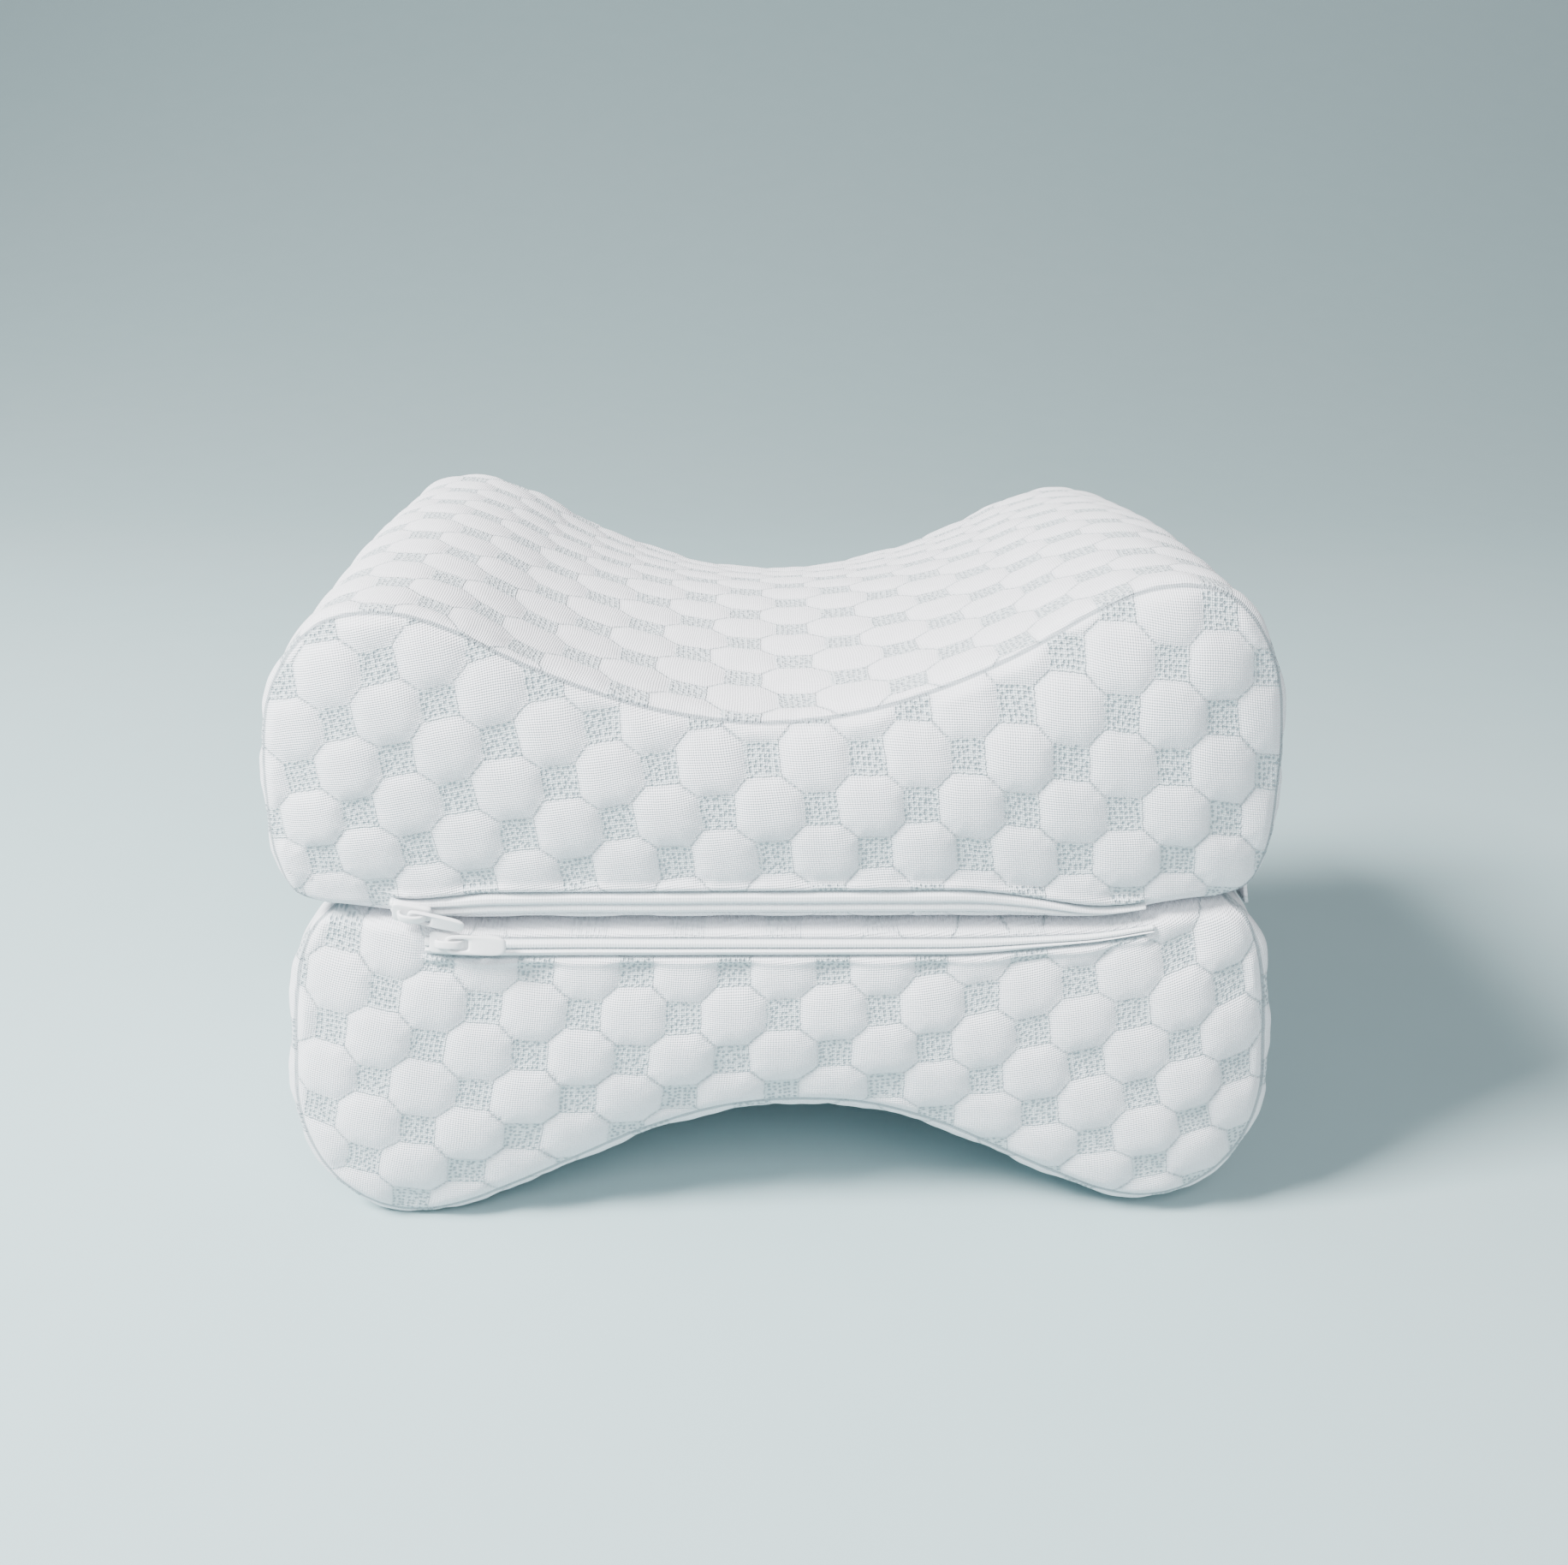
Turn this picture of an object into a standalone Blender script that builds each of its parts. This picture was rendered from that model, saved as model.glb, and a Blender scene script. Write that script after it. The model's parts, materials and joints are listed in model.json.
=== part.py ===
"""Knee pillow in two contoured halves, lying flat face to flat face.

Each half is one filled foam block in a puffed knit cover: a band of cloth runs round
the contoured side and the two ends, and a panel closes the front and the back. A zip
crosses each front panel beside the flat face. Units are metres, +Z is up, the front
faces -Y, and the origin is at the middle of the footprint.
"""
import math

import bmesh
import bpy
import numpy as np
from mathutils import Matrix, Vector
from mathutils.geometry import delaunay_2d_cdt

# Half outlines from the hollow's middle to the flat face: x, height above the flat face
UPPER_OUTLINE = [
    (0.0000, 0.0516), (0.0222, 0.0541), (0.0455, 0.0612), (0.0646, 0.0700), (0.0788, 0.0779),
    (0.0929, 0.0825), (0.1010, 0.0827), (0.1091, 0.0806), (0.1151, 0.0760), (0.1202, 0.0689),
    (0.1237, 0.0610), (0.1260, 0.0476), (0.1265, 0.0317), (0.1254, 0.0149), (0.1216, 0.0045),
    (0.1140, 0.0000),
]
LOWER_OUTLINE = [
    (0.0000, 0.0538), (0.0200, 0.0556), (0.0400, 0.0620), (0.0600, 0.0716), (0.0750, 0.0788),
    (0.0880, 0.0842), (0.0980, 0.0861), (0.1070, 0.0851), (0.1150, 0.0811), (0.1215, 0.0747),
    (0.1260, 0.0662), (0.1287, 0.0545), (0.1280, 0.0380), (0.1262, 0.0220), (0.1232, 0.0105),
    (0.1196, 0.0040), (0.1130, 0.0000),
]
HUMP_HEIGHT = 0.0834

# Sizes that both halves share
SEAM_DEPTH = 0.166           # front seam to back seam
PANEL_BULGE = 0.0060         # how far a stuffed front or back panel stands out of its seam
PANEL_ROLL = 0.028           # width of the panel's rounded rim
FLAT_BULGE_SHARE = 0.35      # share of the bulge left beside the flat face
FLAT_BULGE_HEIGHT = 0.035    # height over which it grows to the whole bulge
HOLLOW_CROWN = 0.0110        # how far the cloth bridges the hollow, halfway back
HOLLOW_CROWN_WIDTH = 0.070
ROLL_RISE = 0.0016           # distance from a seam in which the band's rolled edge rises
ROLL_REACH = 0.030           # distance over which that roll dies away
SMOOTH_EDGE = 0.0140         # height beside the flat face over which crown and puffs fade
ZIP_ZONE = 0.0100            # height beside the flat face that stays smooth for the zip

# Raised octagons and sunken squares of the knit, in half periods of the pattern
PUFF_RISE = 0.0013
SQUARE_DROP = 0.0005
OCTAGON_REACH = 0.663        # octagon centre to its straight side
SEAM_FADE = 0.0040           # the puffs fade out over this distance from a seam
BAND_COLUMN = (-0.42, 69.0, 487.0)   # at the middle, for each metre along, and for its cube
BAND_STRETCH = 0.100         # arc length from the middle in which the columns draw closer
BAND_ROW = (-0.84, 94.4)     # at the front seam, and for each metre back
NODE_STEP = 0.5              # half periods between mesh points
NODE_MARGIN = 0.0035         # pattern points keep this far from a seam
DEPTH_MARGIN = 0.0024        # the same for the band's rows
EDGE_STATIONS = (0.0, 0.0030, 0.0065, 0.0105)
ZIP_STATION = 0.0125
ZIP_ROWS = (0.0026, 0.0062, 0.0100)

# The flat faces meet here, a hair apart
MATING_HEIGHT = 0.0903
HALF_GAP = 0.0003
DEPTH_SHIFT = 0.0013         # keeps the origin under the middle, sliders included

# What differs between the halves. A panel's columns are counted from the middle of the flat
# edge, for each metre of x, of height and of x times height, and its rows likewise for each
# metre of x, of height and of x times x.
UPPER = {
    "outline": UPPER_OUTLINE, "up": 1.0, "base": MATING_HEIGHT + HALF_GAP, "shift": -0.0022,
    "hollow_shift": 0.0, "side_crown": 0.0034, "crown_power": 1.6, "roll": 0.0009,
    "twist": -0.43, "edge_inset": 0.0032, "edge_round": 0.0055,
    "column": (0.80, 79.7, 9.9, -15.6), "row": (-0.42, -3.2, 78.8, 59.1),
}
LOWER = {
    "outline": LOWER_OUTLINE, "up": -1.0, "base": MATING_HEIGHT, "shift": -0.0001,
    "hollow_shift": 0.0050, "side_crown": 0.0030, "crown_power": 2.6, "roll": 0.0022,
    "twist": 0.20, "edge_inset": 0.0062, "edge_round": 0.0085,
    "column": (0.95, 80.4, 0.6, -133.6), "row": (-1.09, 3.2, 80.4, 79.5),
}

# Zips, with their sliders at the left end
ZIP_CLEARANCE = 0.0006
ZIP_THICKNESS = 0.0014
ZIP_STEP = 0.00625
UPPER_ZIP = {"left": -0.0970, "right": 0.0920, "low": 0.0012, "high": 0.0070, "slider": -0.0913}
LOWER_ZIP = {"left": -0.0910, "right": 0.0950, "low": 0.0026, "high": 0.0088, "slider": -0.0846}
SLIDER_SIZE = (0.0096, 0.0056, 0.0016)
SLIDER_CLEARANCE = 0.0004
BRIDGE_SPAN = (-0.0030, 0.0034)
BRIDGE_WIDTH = 0.0018
BRIDGE_CLEAR = 0.0022
BRIDGE_BAR = 0.0010
POST_LENGTH = 0.0012
PLATE_ROUNDING = 0.3         # share of the plate's thickness that its rounded edges take
TAB_START = -0.0008
TAB_THICKNESS = 0.0011
TAB_LIFT = 0.0005
TAB_ROUNDING = 0.3           # share of the tab's width that its rounded corners take
TAB_EYE = (0.0004, 0.0051, 0.0028)
EYE_CORNER = 0.0005
TAB_HOLE = 0.0009
HOLE_INSET = 0.0011          # from the tab's end to its hole
TAB_PIVOT = 0.0028           # the tab hangs from here, along the slider
UPPER_TAB = {"length": 0.0144, "width": 0.0040, "droop": 6.0}
LOWER_TAB = {"length": 0.0154, "width": 0.0058, "droop": 0.0}

# Cloth hinge that joins the right ends
HINGE_INSET = 0.0120         # from the front and back seams
HINGE_CLEARANCE = 0.0007
HINGE_THICKNESS = 0.0010


def smooth_step(value):
    """Ease from 0 to 1 as the value does."""
    value = np.clip(value, 0.0, 1.0)
    return value * value * (3.0 - 2.0 * value)


def outline_curve(half):
    """The whole half outline as a dense smooth line, left flat edge to right flat edge."""
    right = np.array(half["outline"])
    knots = np.vstack([right[::-1] * (-1.0, 1.0), right[1:]])
    knots[:, 0] += half["hollow_shift"] * np.exp(-(knots[:, 0] / HOLLOW_CROWN_WIDTH) ** 2)
    chord = np.concatenate([[0.0], np.cumsum(np.linalg.norm(np.diff(knots, axis=0), axis=1))])
    slope = np.gradient(knots, chord, axis=0)
    points = []
    for index in range(len(knots) - 1):
        span = chord[index + 1] - chord[index]
        for t in np.linspace(0.0, 1.0, 24, endpoint=False):
            points.append(
                (2 * t ** 3 - 3 * t ** 2 + 1) * knots[index]
                + (t ** 3 - 2 * t ** 2 + t) * span * slope[index]
                + (3 * t ** 2 - 2 * t ** 3) * knots[index + 1]
                + (t ** 3 - t ** 2) * span * slope[index + 1]
            )
    points.append(knots[-1])
    return np.array(points)


def resample(curve, arcs):
    """Points and outward normals of the outline at arc lengths from its middle."""
    lengths = np.concatenate([[0.0], np.cumsum(np.linalg.norm(np.diff(curve, axis=0), axis=1))])
    lengths -= lengths[-1] / 2.0
    tangent = np.gradient(curve, lengths, axis=0)
    points = np.stack([np.interp(arcs, lengths, curve[:, k]) for k in (0, 1)], axis=1)
    along = np.stack([np.interp(arcs, lengths, tangent[:, k]) for k in (0, 1)], axis=1)
    along /= np.linalg.norm(along, axis=1, keepdims=True)
    return points, np.stack([-along[:, 1], along[:, 0]], axis=1)


def puff(column, row):
    """Height of the knit: domed octagons round the sunken squares at like whole numbers."""
    across = np.abs(column - np.round(column))
    down = np.abs(row - np.round(row))
    square_near = np.mod(np.round(column) + np.round(row), 2) == 0
    wide = np.maximum(across, down)
    narrow = np.minimum(across, down)
    far = np.where(square_near, 1.0 - wide, wide)
    side = np.maximum(far, narrow) / OCTAGON_REACH
    reach = np.maximum(side, far + narrow)
    dome = PUFF_RISE * (1.0 - np.clip(reach, 0.0, 1.0) ** 3)
    half_square = 1.0 - OCTAGON_REACH
    dip = -SQUARE_DROP * (1.0 - (wide / half_square) ** 2)
    return np.where(square_near & (wide < half_square), dip, dome)


def seam_distance(points, seam):
    """Distance from each point to the seam's line."""
    best = np.full(len(points), np.inf)
    for start, end in zip(seam[:-1], seam[1:]):
        run = end - start
        share = np.clip(((points - start) @ run) / (run @ run), 0.0, 1.0)
        away = np.linalg.norm(points - (start + share[:, None] * run), axis=1)
        best = np.minimum(best, away)
    return best


def edge_inset(half, height):
    """How far the flat face's rounded edge is drawn in at each height above that face."""
    return half["edge_inset"] * (1.0 - np.clip(height / half["edge_round"], 0.0, 1.0)) ** 2


def to_world(half, x, y, height):
    """Stand a half on its flat face with its twist; below, the humps press flat on the floor."""
    height = height + half["twist"] * x * y * height / HUMP_HEIGHT
    height = np.minimum(height, MATING_HEIGHT)
    level = half["base"] + half["up"] * height
    return np.stack([x + half["shift"], y + DEPTH_SHIFT, level], axis=1)


def pattern_nodes(places, counts, margin):
    """Places along a run of cloth where its count passes a step, clear of the two ends."""
    low, high = np.interp((places[0] + margin, places[-1] - margin), places, counts)
    steps = np.arange(math.ceil(low / NODE_STEP), math.floor(high / NODE_STEP) + 1)
    return list(np.interp(steps * NODE_STEP, counts, places))


def band_column(arcs):
    """Pattern columns along the band: closer away from the hollow, and then even."""
    start, along, cube = BAND_COLUMN
    held = np.clip(arcs, -BAND_STRETCH, BAND_STRETCH)
    beyond = 3.0 * cube * BAND_STRETCH ** 2 * (arcs - held)
    return start + along * arcs + cube * held ** 3 + beyond


def band_row(depths):
    """Pattern rows across the band."""
    return BAND_ROW[0] + BAND_ROW[1] * depths


def panel_pattern(half, x, height):
    """Pattern columns and rows on a panel."""
    c, r = half["column"], half["row"]
    column = c[0] + c[1] * x + c[2] * height + c[3] * x * height
    return column, r[0] + r[1] * x + r[2] * height + r[3] * x * x


def panel_place(half, column, row):
    """Where a panel's columns and rows cross, found by repeated correction."""
    c, r = half["column"], half["row"]
    x, height = 0.0, 0.0
    for _ in range(40):
        x = (column - c[0] - c[2] * height) / (c[1] + c[3] * height)
        height = (row - r[0] - r[1] * x - r[3] * x * x) / r[2]
    return x, height


def band_stations(curve):
    """Arc lengths across the band, close together where it turns under to the flat face."""
    reach = np.linalg.norm(np.diff(curve, axis=0), axis=1).sum() / 2.0
    places = np.linspace(-reach, reach, 2000)
    middle = pattern_nodes(places, band_column(places), EDGE_STATIONS[-1] + NODE_MARGIN)
    left = [-reach + station for station in EDGE_STATIONS]
    return np.array(left + middle + [-arc for arc in reversed(left)])


def depth_stations():
    """Depths across the band, from the front seam to the back seam."""
    places = np.linspace(0.0, SEAM_DEPTH, 1000)
    inner = pattern_nodes(places, band_row(places), DEPTH_MARGIN)
    return np.array([0.0] + inner + [SEAM_DEPTH])


def band_points(half, curve, arcs, depths):
    """World points of the band, one row for each arc length and one column for each depth."""
    outline, normal = resample(curve, arcs)
    across = 2.0 * depths / SEAM_DEPTH - 1.0
    arch = 1.0 - np.abs(across) ** half["crown_power"]
    hollow = HOLLOW_CROWN * np.exp(-(outline[:, 0] / HOLLOW_CROWN_WIDTH) ** 2)
    crown = (hollow + half["side_crown"])[:, None] * arch[None, :]
    near = np.minimum(depths, SEAM_DEPTH - depths)
    roll = half["roll"] * (1.0 - np.exp(-near / ROLL_RISE)) * np.exp(-near / ROLL_REACH)
    fade = smooth_step(near / SEAM_FADE)
    relief = puff(band_column(arcs)[:, None], band_row(depths)[None, :]) * fade[None, :] + roll
    lift = (crown + relief) * smooth_step(outline[:, 1] / SMOOTH_EDGE)[:, None]
    x = outline[:, 0][:, None] + normal[:, 0][:, None] * lift
    height = outline[:, 1][:, None] + normal[:, 1][:, None] * lift
    inset = 1.0 - edge_inset(half, outline[:, 1])[:, None] / (SEAM_DEPTH / 2.0)
    y = (depths - SEAM_DEPTH / 2.0)[None, :] * inset
    return to_world(half, x.ravel(), y.ravel(), height.ravel())


def panel_stand_out(half, points, seam):
    """How far the smooth panel stands out in front of its seam's plane."""
    rim = 1.0 - np.clip(seam_distance(points, seam) / PANEL_ROLL, 0.0, 1.0)
    foot = 1.0 - np.clip(points[:, 1] / FLAT_BULGE_HEIGHT, 0.0, 1.0)
    share = FLAT_BULGE_SHARE + (1.0 - FLAT_BULGE_SHARE) * (1.0 - foot ** 2)
    return PANEL_BULGE * (1.0 - rim ** 2) * share - edge_inset(half, points[:, 1])


def panel_points(half, seam, points, side, puffed=True):
    """World points of a front (-1) or back (+1) panel above its flat outline."""
    out = panel_stand_out(half, points, seam)
    if puffed:
        column, row = panel_pattern(half, points[:, 0], points[:, 1])
        fade = smooth_step(seam_distance(points, seam) / SEAM_FADE)
        fade = fade * smooth_step((points[:, 1] - ZIP_ZONE) / SEAM_FADE)
        out = out + puff(column, row) * fade
    y = side * (SEAM_DEPTH / 2.0 + out)
    return to_world(half, points[:, 0], y, points[:, 1])


def panel_nodes(half, seam):
    """Points inside a panel, and the folds that join its pattern points between puffs."""
    rows = [(x, height) for height in ZIP_ROWS for x in zip_stations(seam[-1, 0])]
    keys = [None] * len(rows)
    nodes = list(rows)
    reach = math.ceil(half["column"][1] * seam[:, 0].max() / NODE_STEP) + 2
    for column in range(-reach, reach + 1):
        for row in range(-reach, reach + 1):
            x, height = panel_place(half, column * NODE_STEP, row * NODE_STEP)
            if height > ZIP_ROWS[-1] + NODE_MARGIN:
                nodes.append((x, height))
                keys.append((column, row))
    nodes = np.array(nodes)
    inside = np.array([crossings(seam, node) % 2 == 1 for node in nodes])
    kept = np.flatnonzero(inside & (seam_distance(nodes, seam) > NODE_MARGIN))
    place = {keys[old]: new for new, old in enumerate(kept) if keys[old]}
    folds = []
    for (column, row), index in place.items():
        for step in (-1, 1):
            other = place.get((column + 1, row + step))
            if (column + row) % 2 == 1 and other is not None:
                folds.append((index, other))
    return nodes[kept], folds


def crossings(outline, point):
    """How often a level ray from the point to the right crosses a closed outline."""
    count = 0
    for start, end in zip(outline, np.roll(outline, -1, axis=0)):
        if (start[1] > point[1]) != (end[1] > point[1]):
            share = (point[1] - start[1]) / (end[1] - start[1])
            if start[0] + share * (end[0] - start[0]) > point[0]:
                count += 1
    return count


def zip_stations(reach):
    """Level places along the zip between the two ends of the flat edge."""
    count = int(reach / ZIP_STATION)
    return [ZIP_STATION * index for index in range(-count, count + 1)]


def add_band(mesh, half, curve, arcs, depths):
    """Lay a grid over the contoured side and the two ends."""
    rows, columns = len(arcs) - 1, len(depths) - 1
    places = band_points(half, curve, arcs, depths)
    made = bmesh.ops.create_grid(mesh, x_segments=rows, y_segments=columns, size=1.0)
    for vertex in made["verts"]:
        row = round((vertex.co.x + 1.0) / 2.0 * rows)
        column = round((vertex.co.y + 1.0) / 2.0 * columns)
        vertex.co = places[row * (columns + 1) + column]


def add_panel(mesh, half, seam, side):
    """Fill one end of the band with a panel whose mesh follows the pattern."""
    foot = [(x, 0.0) for x in reversed(zip_stations(seam[-1, 0]))]
    rim = np.vstack([seam, np.array(foot)])
    nodes, folds = panel_nodes(half, seam)
    points = np.vstack([rim, nodes])
    edges = [(index, (index + 1) % len(rim)) for index in range(len(rim))]
    edges += [(start + len(rim), end + len(rim)) for start, end in folds]
    flat = [Vector(point) for point in points]
    placed, _, faces, _, _, _ = delaunay_2d_cdt(flat, edges, [], 1, 1e-7)
    world = panel_points(half, seam, np.array([tuple(point) for point in placed]), side)
    vertices = [mesh.verts.new(point) for point in world]
    for face in faces:
        mesh.faces.new([vertices[index] for index in face])


def close_flat_face(mesh):
    """Weld the band to its panels, fold the band between its puffs and fill the flat face."""
    bmesh.ops.remove_doubles(mesh, verts=mesh.verts, dist=1e-6)
    bmesh.ops.triangulate(mesh, faces=mesh.faces, quad_method="SHORT_EDGE")
    bmesh.ops.edgeloop_fill(mesh, edges=[edge for edge in mesh.edges if edge.is_boundary])
    bmesh.ops.recalc_face_normals(mesh, faces=mesh.faces)


def link_mesh(name, mesh, collection, material):
    """Turn a bmesh into an object of the given collection."""
    data = bpy.data.meshes.new(name)
    mesh.to_mesh(data)
    mesh.free()
    obj = bpy.data.objects.new(name, data)
    collection.objects.link(obj)
    if material:
        data.materials.append(material)
    return obj


def make_half(name, half, collection, material):
    """One filled half, with its band, its two panels and its flat face."""
    curve = outline_curve(half)
    arcs = band_stations(curve)
    seam, _ = resample(curve, arcs)
    seam[[0, -1], 1] = 0.0
    mesh = bmesh.new()
    add_band(mesh, half, curve, arcs, depth_stations())
    for side in (-1.0, 1.0):
        add_panel(mesh, half, seam, side)
    close_flat_face(mesh)
    obj = link_mesh(name, mesh, collection, material)
    obj.data.shade_smooth()
    return seam


def zip_frame(half, seam, x, height):
    """Place and turn of something lying on the front panel: x along it, z out of it."""
    step = 0.001
    spots = np.array([(x, height), (x + step, height), (x, height + step)])
    centre, right, up = panel_points(half, seam, spots, -1.0, puffed=False)
    along = Vector(right - centre).normalized()
    rise = Vector(up - centre)
    if half["up"] < 0.0:
        rise.negate()
    out = along.cross(rise).normalized()
    turn = Matrix((along, out.cross(along), out)).transposed()
    return Vector(centre), turn.to_4x4()


def make_zip(name, half, seam, run, collection, material):
    """The closed zip's tapes as one ribbon that follows the panel."""
    count = round((run["right"] - run["left"]) / ZIP_STEP)
    mesh = bmesh.new()
    made = bmesh.ops.create_grid(mesh, x_segments=count, y_segments=2, size=1.0)
    for vertex in made["verts"]:
        x = run["left"] + (vertex.co.x + 1.0) / 2.0 * (run["right"] - run["left"])
        height = run["low"] + (vertex.co.y + 1.0) / 2.0 * (run["high"] - run["low"])
        centre, turn = zip_frame(half, seam, x, height)
        vertex.co = centre + turn.to_3x3() @ Vector((0.0, 0.0, ZIP_CLEARANCE))
    bmesh.ops.recalc_face_normals(mesh, faces=mesh.faces)
    if sum(face.normal.y for face in mesh.faces) > 0.0:
        bmesh.ops.reverse_faces(mesh, faces=mesh.faces)
    add_thickness(link_mesh(name, mesh, collection, material), ZIP_THICKNESS)


def add_thickness(obj, thickness):
    """Thicken a ribbon outwards."""
    solid = obj.modifiers.new("ribbon", "SOLIDIFY")
    solid.thickness = thickness
    solid.offset = 1.0
    solid.use_even_offset = True


def box(name, low, high, collection, material):
    """A box between two corners."""
    low, high = Vector(low), Vector(high)
    mesh = bmesh.new()
    bmesh.ops.create_cube(mesh, size=1.0)
    bmesh.ops.scale(mesh, verts=mesh.verts, vec=high - low)
    bmesh.ops.translate(mesh, verts=mesh.verts, vec=(high + low) / 2.0)
    return link_mesh(name, mesh, collection, material)


def hide_cutter(obj):
    """Keep a cutter out of the finished object."""
    obj.hide_render = True
    obj.display_type = "WIRE"


def place(obj, centre, turn, lift):
    """Stand an object at a distance off a place on the panel."""
    obj.location = centre + turn.to_3x3() @ Vector((0.0, 0.0, lift))
    obj.rotation_euler = turn.to_euler()


def make_slider(name, centre, turn, collection, cutters, material):
    """A slider: bevelled plate with a bridge that the pull tab hooks under."""
    length, width, thickness = SLIDER_SIZE
    lift = ZIP_CLEARANCE + ZIP_THICKNESS + SLIDER_CLEARANCE
    plate = box(name, (-length / 2, -width / 2, 0.0), (length / 2, width / 2, thickness),
                collection, material)
    rounding = plate.modifiers.new("edges", "BEVEL")
    rounding.width = thickness * PLATE_ROUNDING
    rounding.segments = 2
    left, right = BRIDGE_SPAN
    top = thickness + BRIDGE_CLEAR + BRIDGE_BAR
    bridge = box(name + "_bridge", (left, -BRIDGE_WIDTH / 2, thickness / 2),
                 (right, BRIDGE_WIDTH / 2, top), cutters, None)
    tunnel = box(name + "_tunnel", (left + POST_LENGTH, -BRIDGE_WIDTH, thickness),
                 (right - POST_LENGTH, BRIDGE_WIDTH, thickness + BRIDGE_CLEAR), cutters, None)
    opened = bridge.modifiers.new("tunnel", "BOOLEAN")
    opened.operation = "DIFFERENCE"
    opened.object = tunnel
    joined = plate.modifiers.new("bridge", "BOOLEAN")
    joined.operation = "UNION"
    joined.object = bridge
    for obj in (plate, bridge, tunnel):
        place(obj, centre, turn, lift)
    for obj in (bridge, tunnel):
        hide_cutter(obj)
    return lift + thickness


def rounded_loop(left, right, width, radius, steps=4):
    """Corner points of a rounded rectangle from left to right about the x axis."""
    points = []
    for corner_x, corner_y, start in (
        (right - radius, width / 2 - radius, 0.0),
        (left + radius, width / 2 - radius, 90.0),
        (left + radius, -width / 2 + radius, 180.0),
        (right - radius, -width / 2 + radius, 270.0),
    ):
        for step in range(steps + 1):
            angle = math.radians(start + 90.0 * step / steps)
            points.append((corner_x + radius * math.cos(angle), corner_y + radius * math.sin(angle)))
    return points


def make_tab(name, centre, turn, tab, lift, collection, material):
    """A flat pull tab, whose eye goes round the bridge's right post and whose end may hang."""
    curve = bpy.data.curves.new(name, "CURVE")
    curve.dimensions = "2D"
    curve.fill_mode = "BOTH"
    curve.extrude = TAB_THICKNESS / 2.0
    width = tab["width"]
    end = TAB_START + tab["length"]
    loops = [
        rounded_loop(TAB_START, end, width, width * TAB_ROUNDING),
        rounded_loop(TAB_EYE[0], TAB_EYE[1], TAB_EYE[2], EYE_CORNER, 2),
        rounded_loop(end - HOLE_INSET - 2.0 * TAB_HOLE, end - HOLE_INSET, 2.0 * TAB_HOLE, TAB_HOLE, 3),
    ]
    droop = Matrix.Rotation(-math.radians(tab["droop"]), 3, "Z")
    pivot = Vector((TAB_PIVOT, 0.0, 0.0))
    for loop in loops:
        spline = curve.splines.new("POLY")
        spline.points.add(len(loop) - 1)
        for point, (x, y) in zip(spline.points, loop):
            place_on_plate = pivot + droop @ (Vector((x, y, 0.0)) - pivot)
            point.co = (*place_on_plate, 1.0)
        spline.use_cyclic_u = True
    curve.materials.append(material)
    obj = bpy.data.objects.new(name, curve)
    collection.objects.link(obj)
    place(obj, centre, turn, lift + TAB_LIFT + TAB_THICKNESS / 2.0)


def make_hinge(name, collection, material):
    """The strip of cloth that joins the two right ends, along the foot of each."""
    depths = depth_stations()
    depths = depths[(depths > HINGE_INSET) & (depths < SEAM_DEPTH - HINGE_INSET)]
    edges = []
    for half in (UPPER, LOWER):
        curve = outline_curve(half)
        arcs = band_stations(curve)[-len(EDGE_STATIONS):]
        edges.append(band_points(half, curve, arcs[:1], depths) + (HINGE_CLEARANCE, 0.0, 0.0))
    mesh = bmesh.new()
    count = len(depths) - 1
    made = bmesh.ops.create_grid(mesh, x_segments=count, y_segments=1, size=1.0)
    for vertex in made["verts"]:
        column = round((vertex.co.x + 1.0) / 2.0 * count)
        vertex.co = edges[0 if vertex.co.y > 0.0 else 1][column]
    bmesh.ops.recalc_face_normals(mesh, faces=mesh.faces)
    if sum(face.normal.x for face in mesh.faces) < 0.0:
        bmesh.ops.reverse_faces(mesh, faces=mesh.faces)
    add_thickness(link_mesh(name, mesh, collection, material), HINGE_THICKNESS)


def make_material(name, colour, roughness):
    """A plain principled material."""
    material = bpy.data.materials.new(name)
    material.use_nodes = True
    shader = material.node_tree.nodes["Principled BSDF"]
    shader.inputs["Base Color"].default_value = (*colour, 1.0)
    shader.inputs["Roughness"].default_value = roughness
    return material


def make_collection(name):
    """A new collection linked to the scene."""
    collection = bpy.data.collections.new(name)
    bpy.context.scene.collection.children.link(collection)
    return collection


def main():
    """Build both halves with their zips, and the hinge."""
    for obj in list(bpy.data.objects):
        bpy.data.objects.remove(obj)
    pillow = make_collection("knee_pillow")
    cutters = make_collection("cutters")
    knit = make_material("puffed_knit", (0.84, 0.85, 0.87), 0.9)
    tape = make_material("zip_tape", (0.82, 0.83, 0.85), 0.8)
    enamel = make_material("slider_enamel", (0.88, 0.89, 0.90), 0.35)
    for label, half, run, tab in (
        ("upper", UPPER, UPPER_ZIP, UPPER_TAB),
        ("lower", LOWER, LOWER_ZIP, LOWER_TAB),
    ):
        seam = make_half(label + "_half", half, pillow, knit)
        make_zip(label + "_zip", half, seam, run, pillow, tape)
        middle = (run["low"] + run["high"]) / 2.0
        centre, turn = zip_frame(half, seam, run["slider"], middle)
        lift = make_slider(label + "_slider", centre, turn, pillow, cutters, enamel)
        make_tab(label + "_pull_tab", centre, turn, tab, lift, pillow, enamel)
    make_hinge("end_hinge", pillow, knit)


main()
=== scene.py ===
"""Knee pillow: two contoured foam halves in puffed knit covers, lying flat face to flat face.

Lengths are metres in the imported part's frame. A half is worked out in its own section
plane, with x along the pillow and height above its flat face, and is then stood up or
turned over by to_world. Patterns are counted in half periods, with a sunken mesh square
wherever column and row are whole numbers that are both odd or both even.
"""

import json
import math

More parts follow.
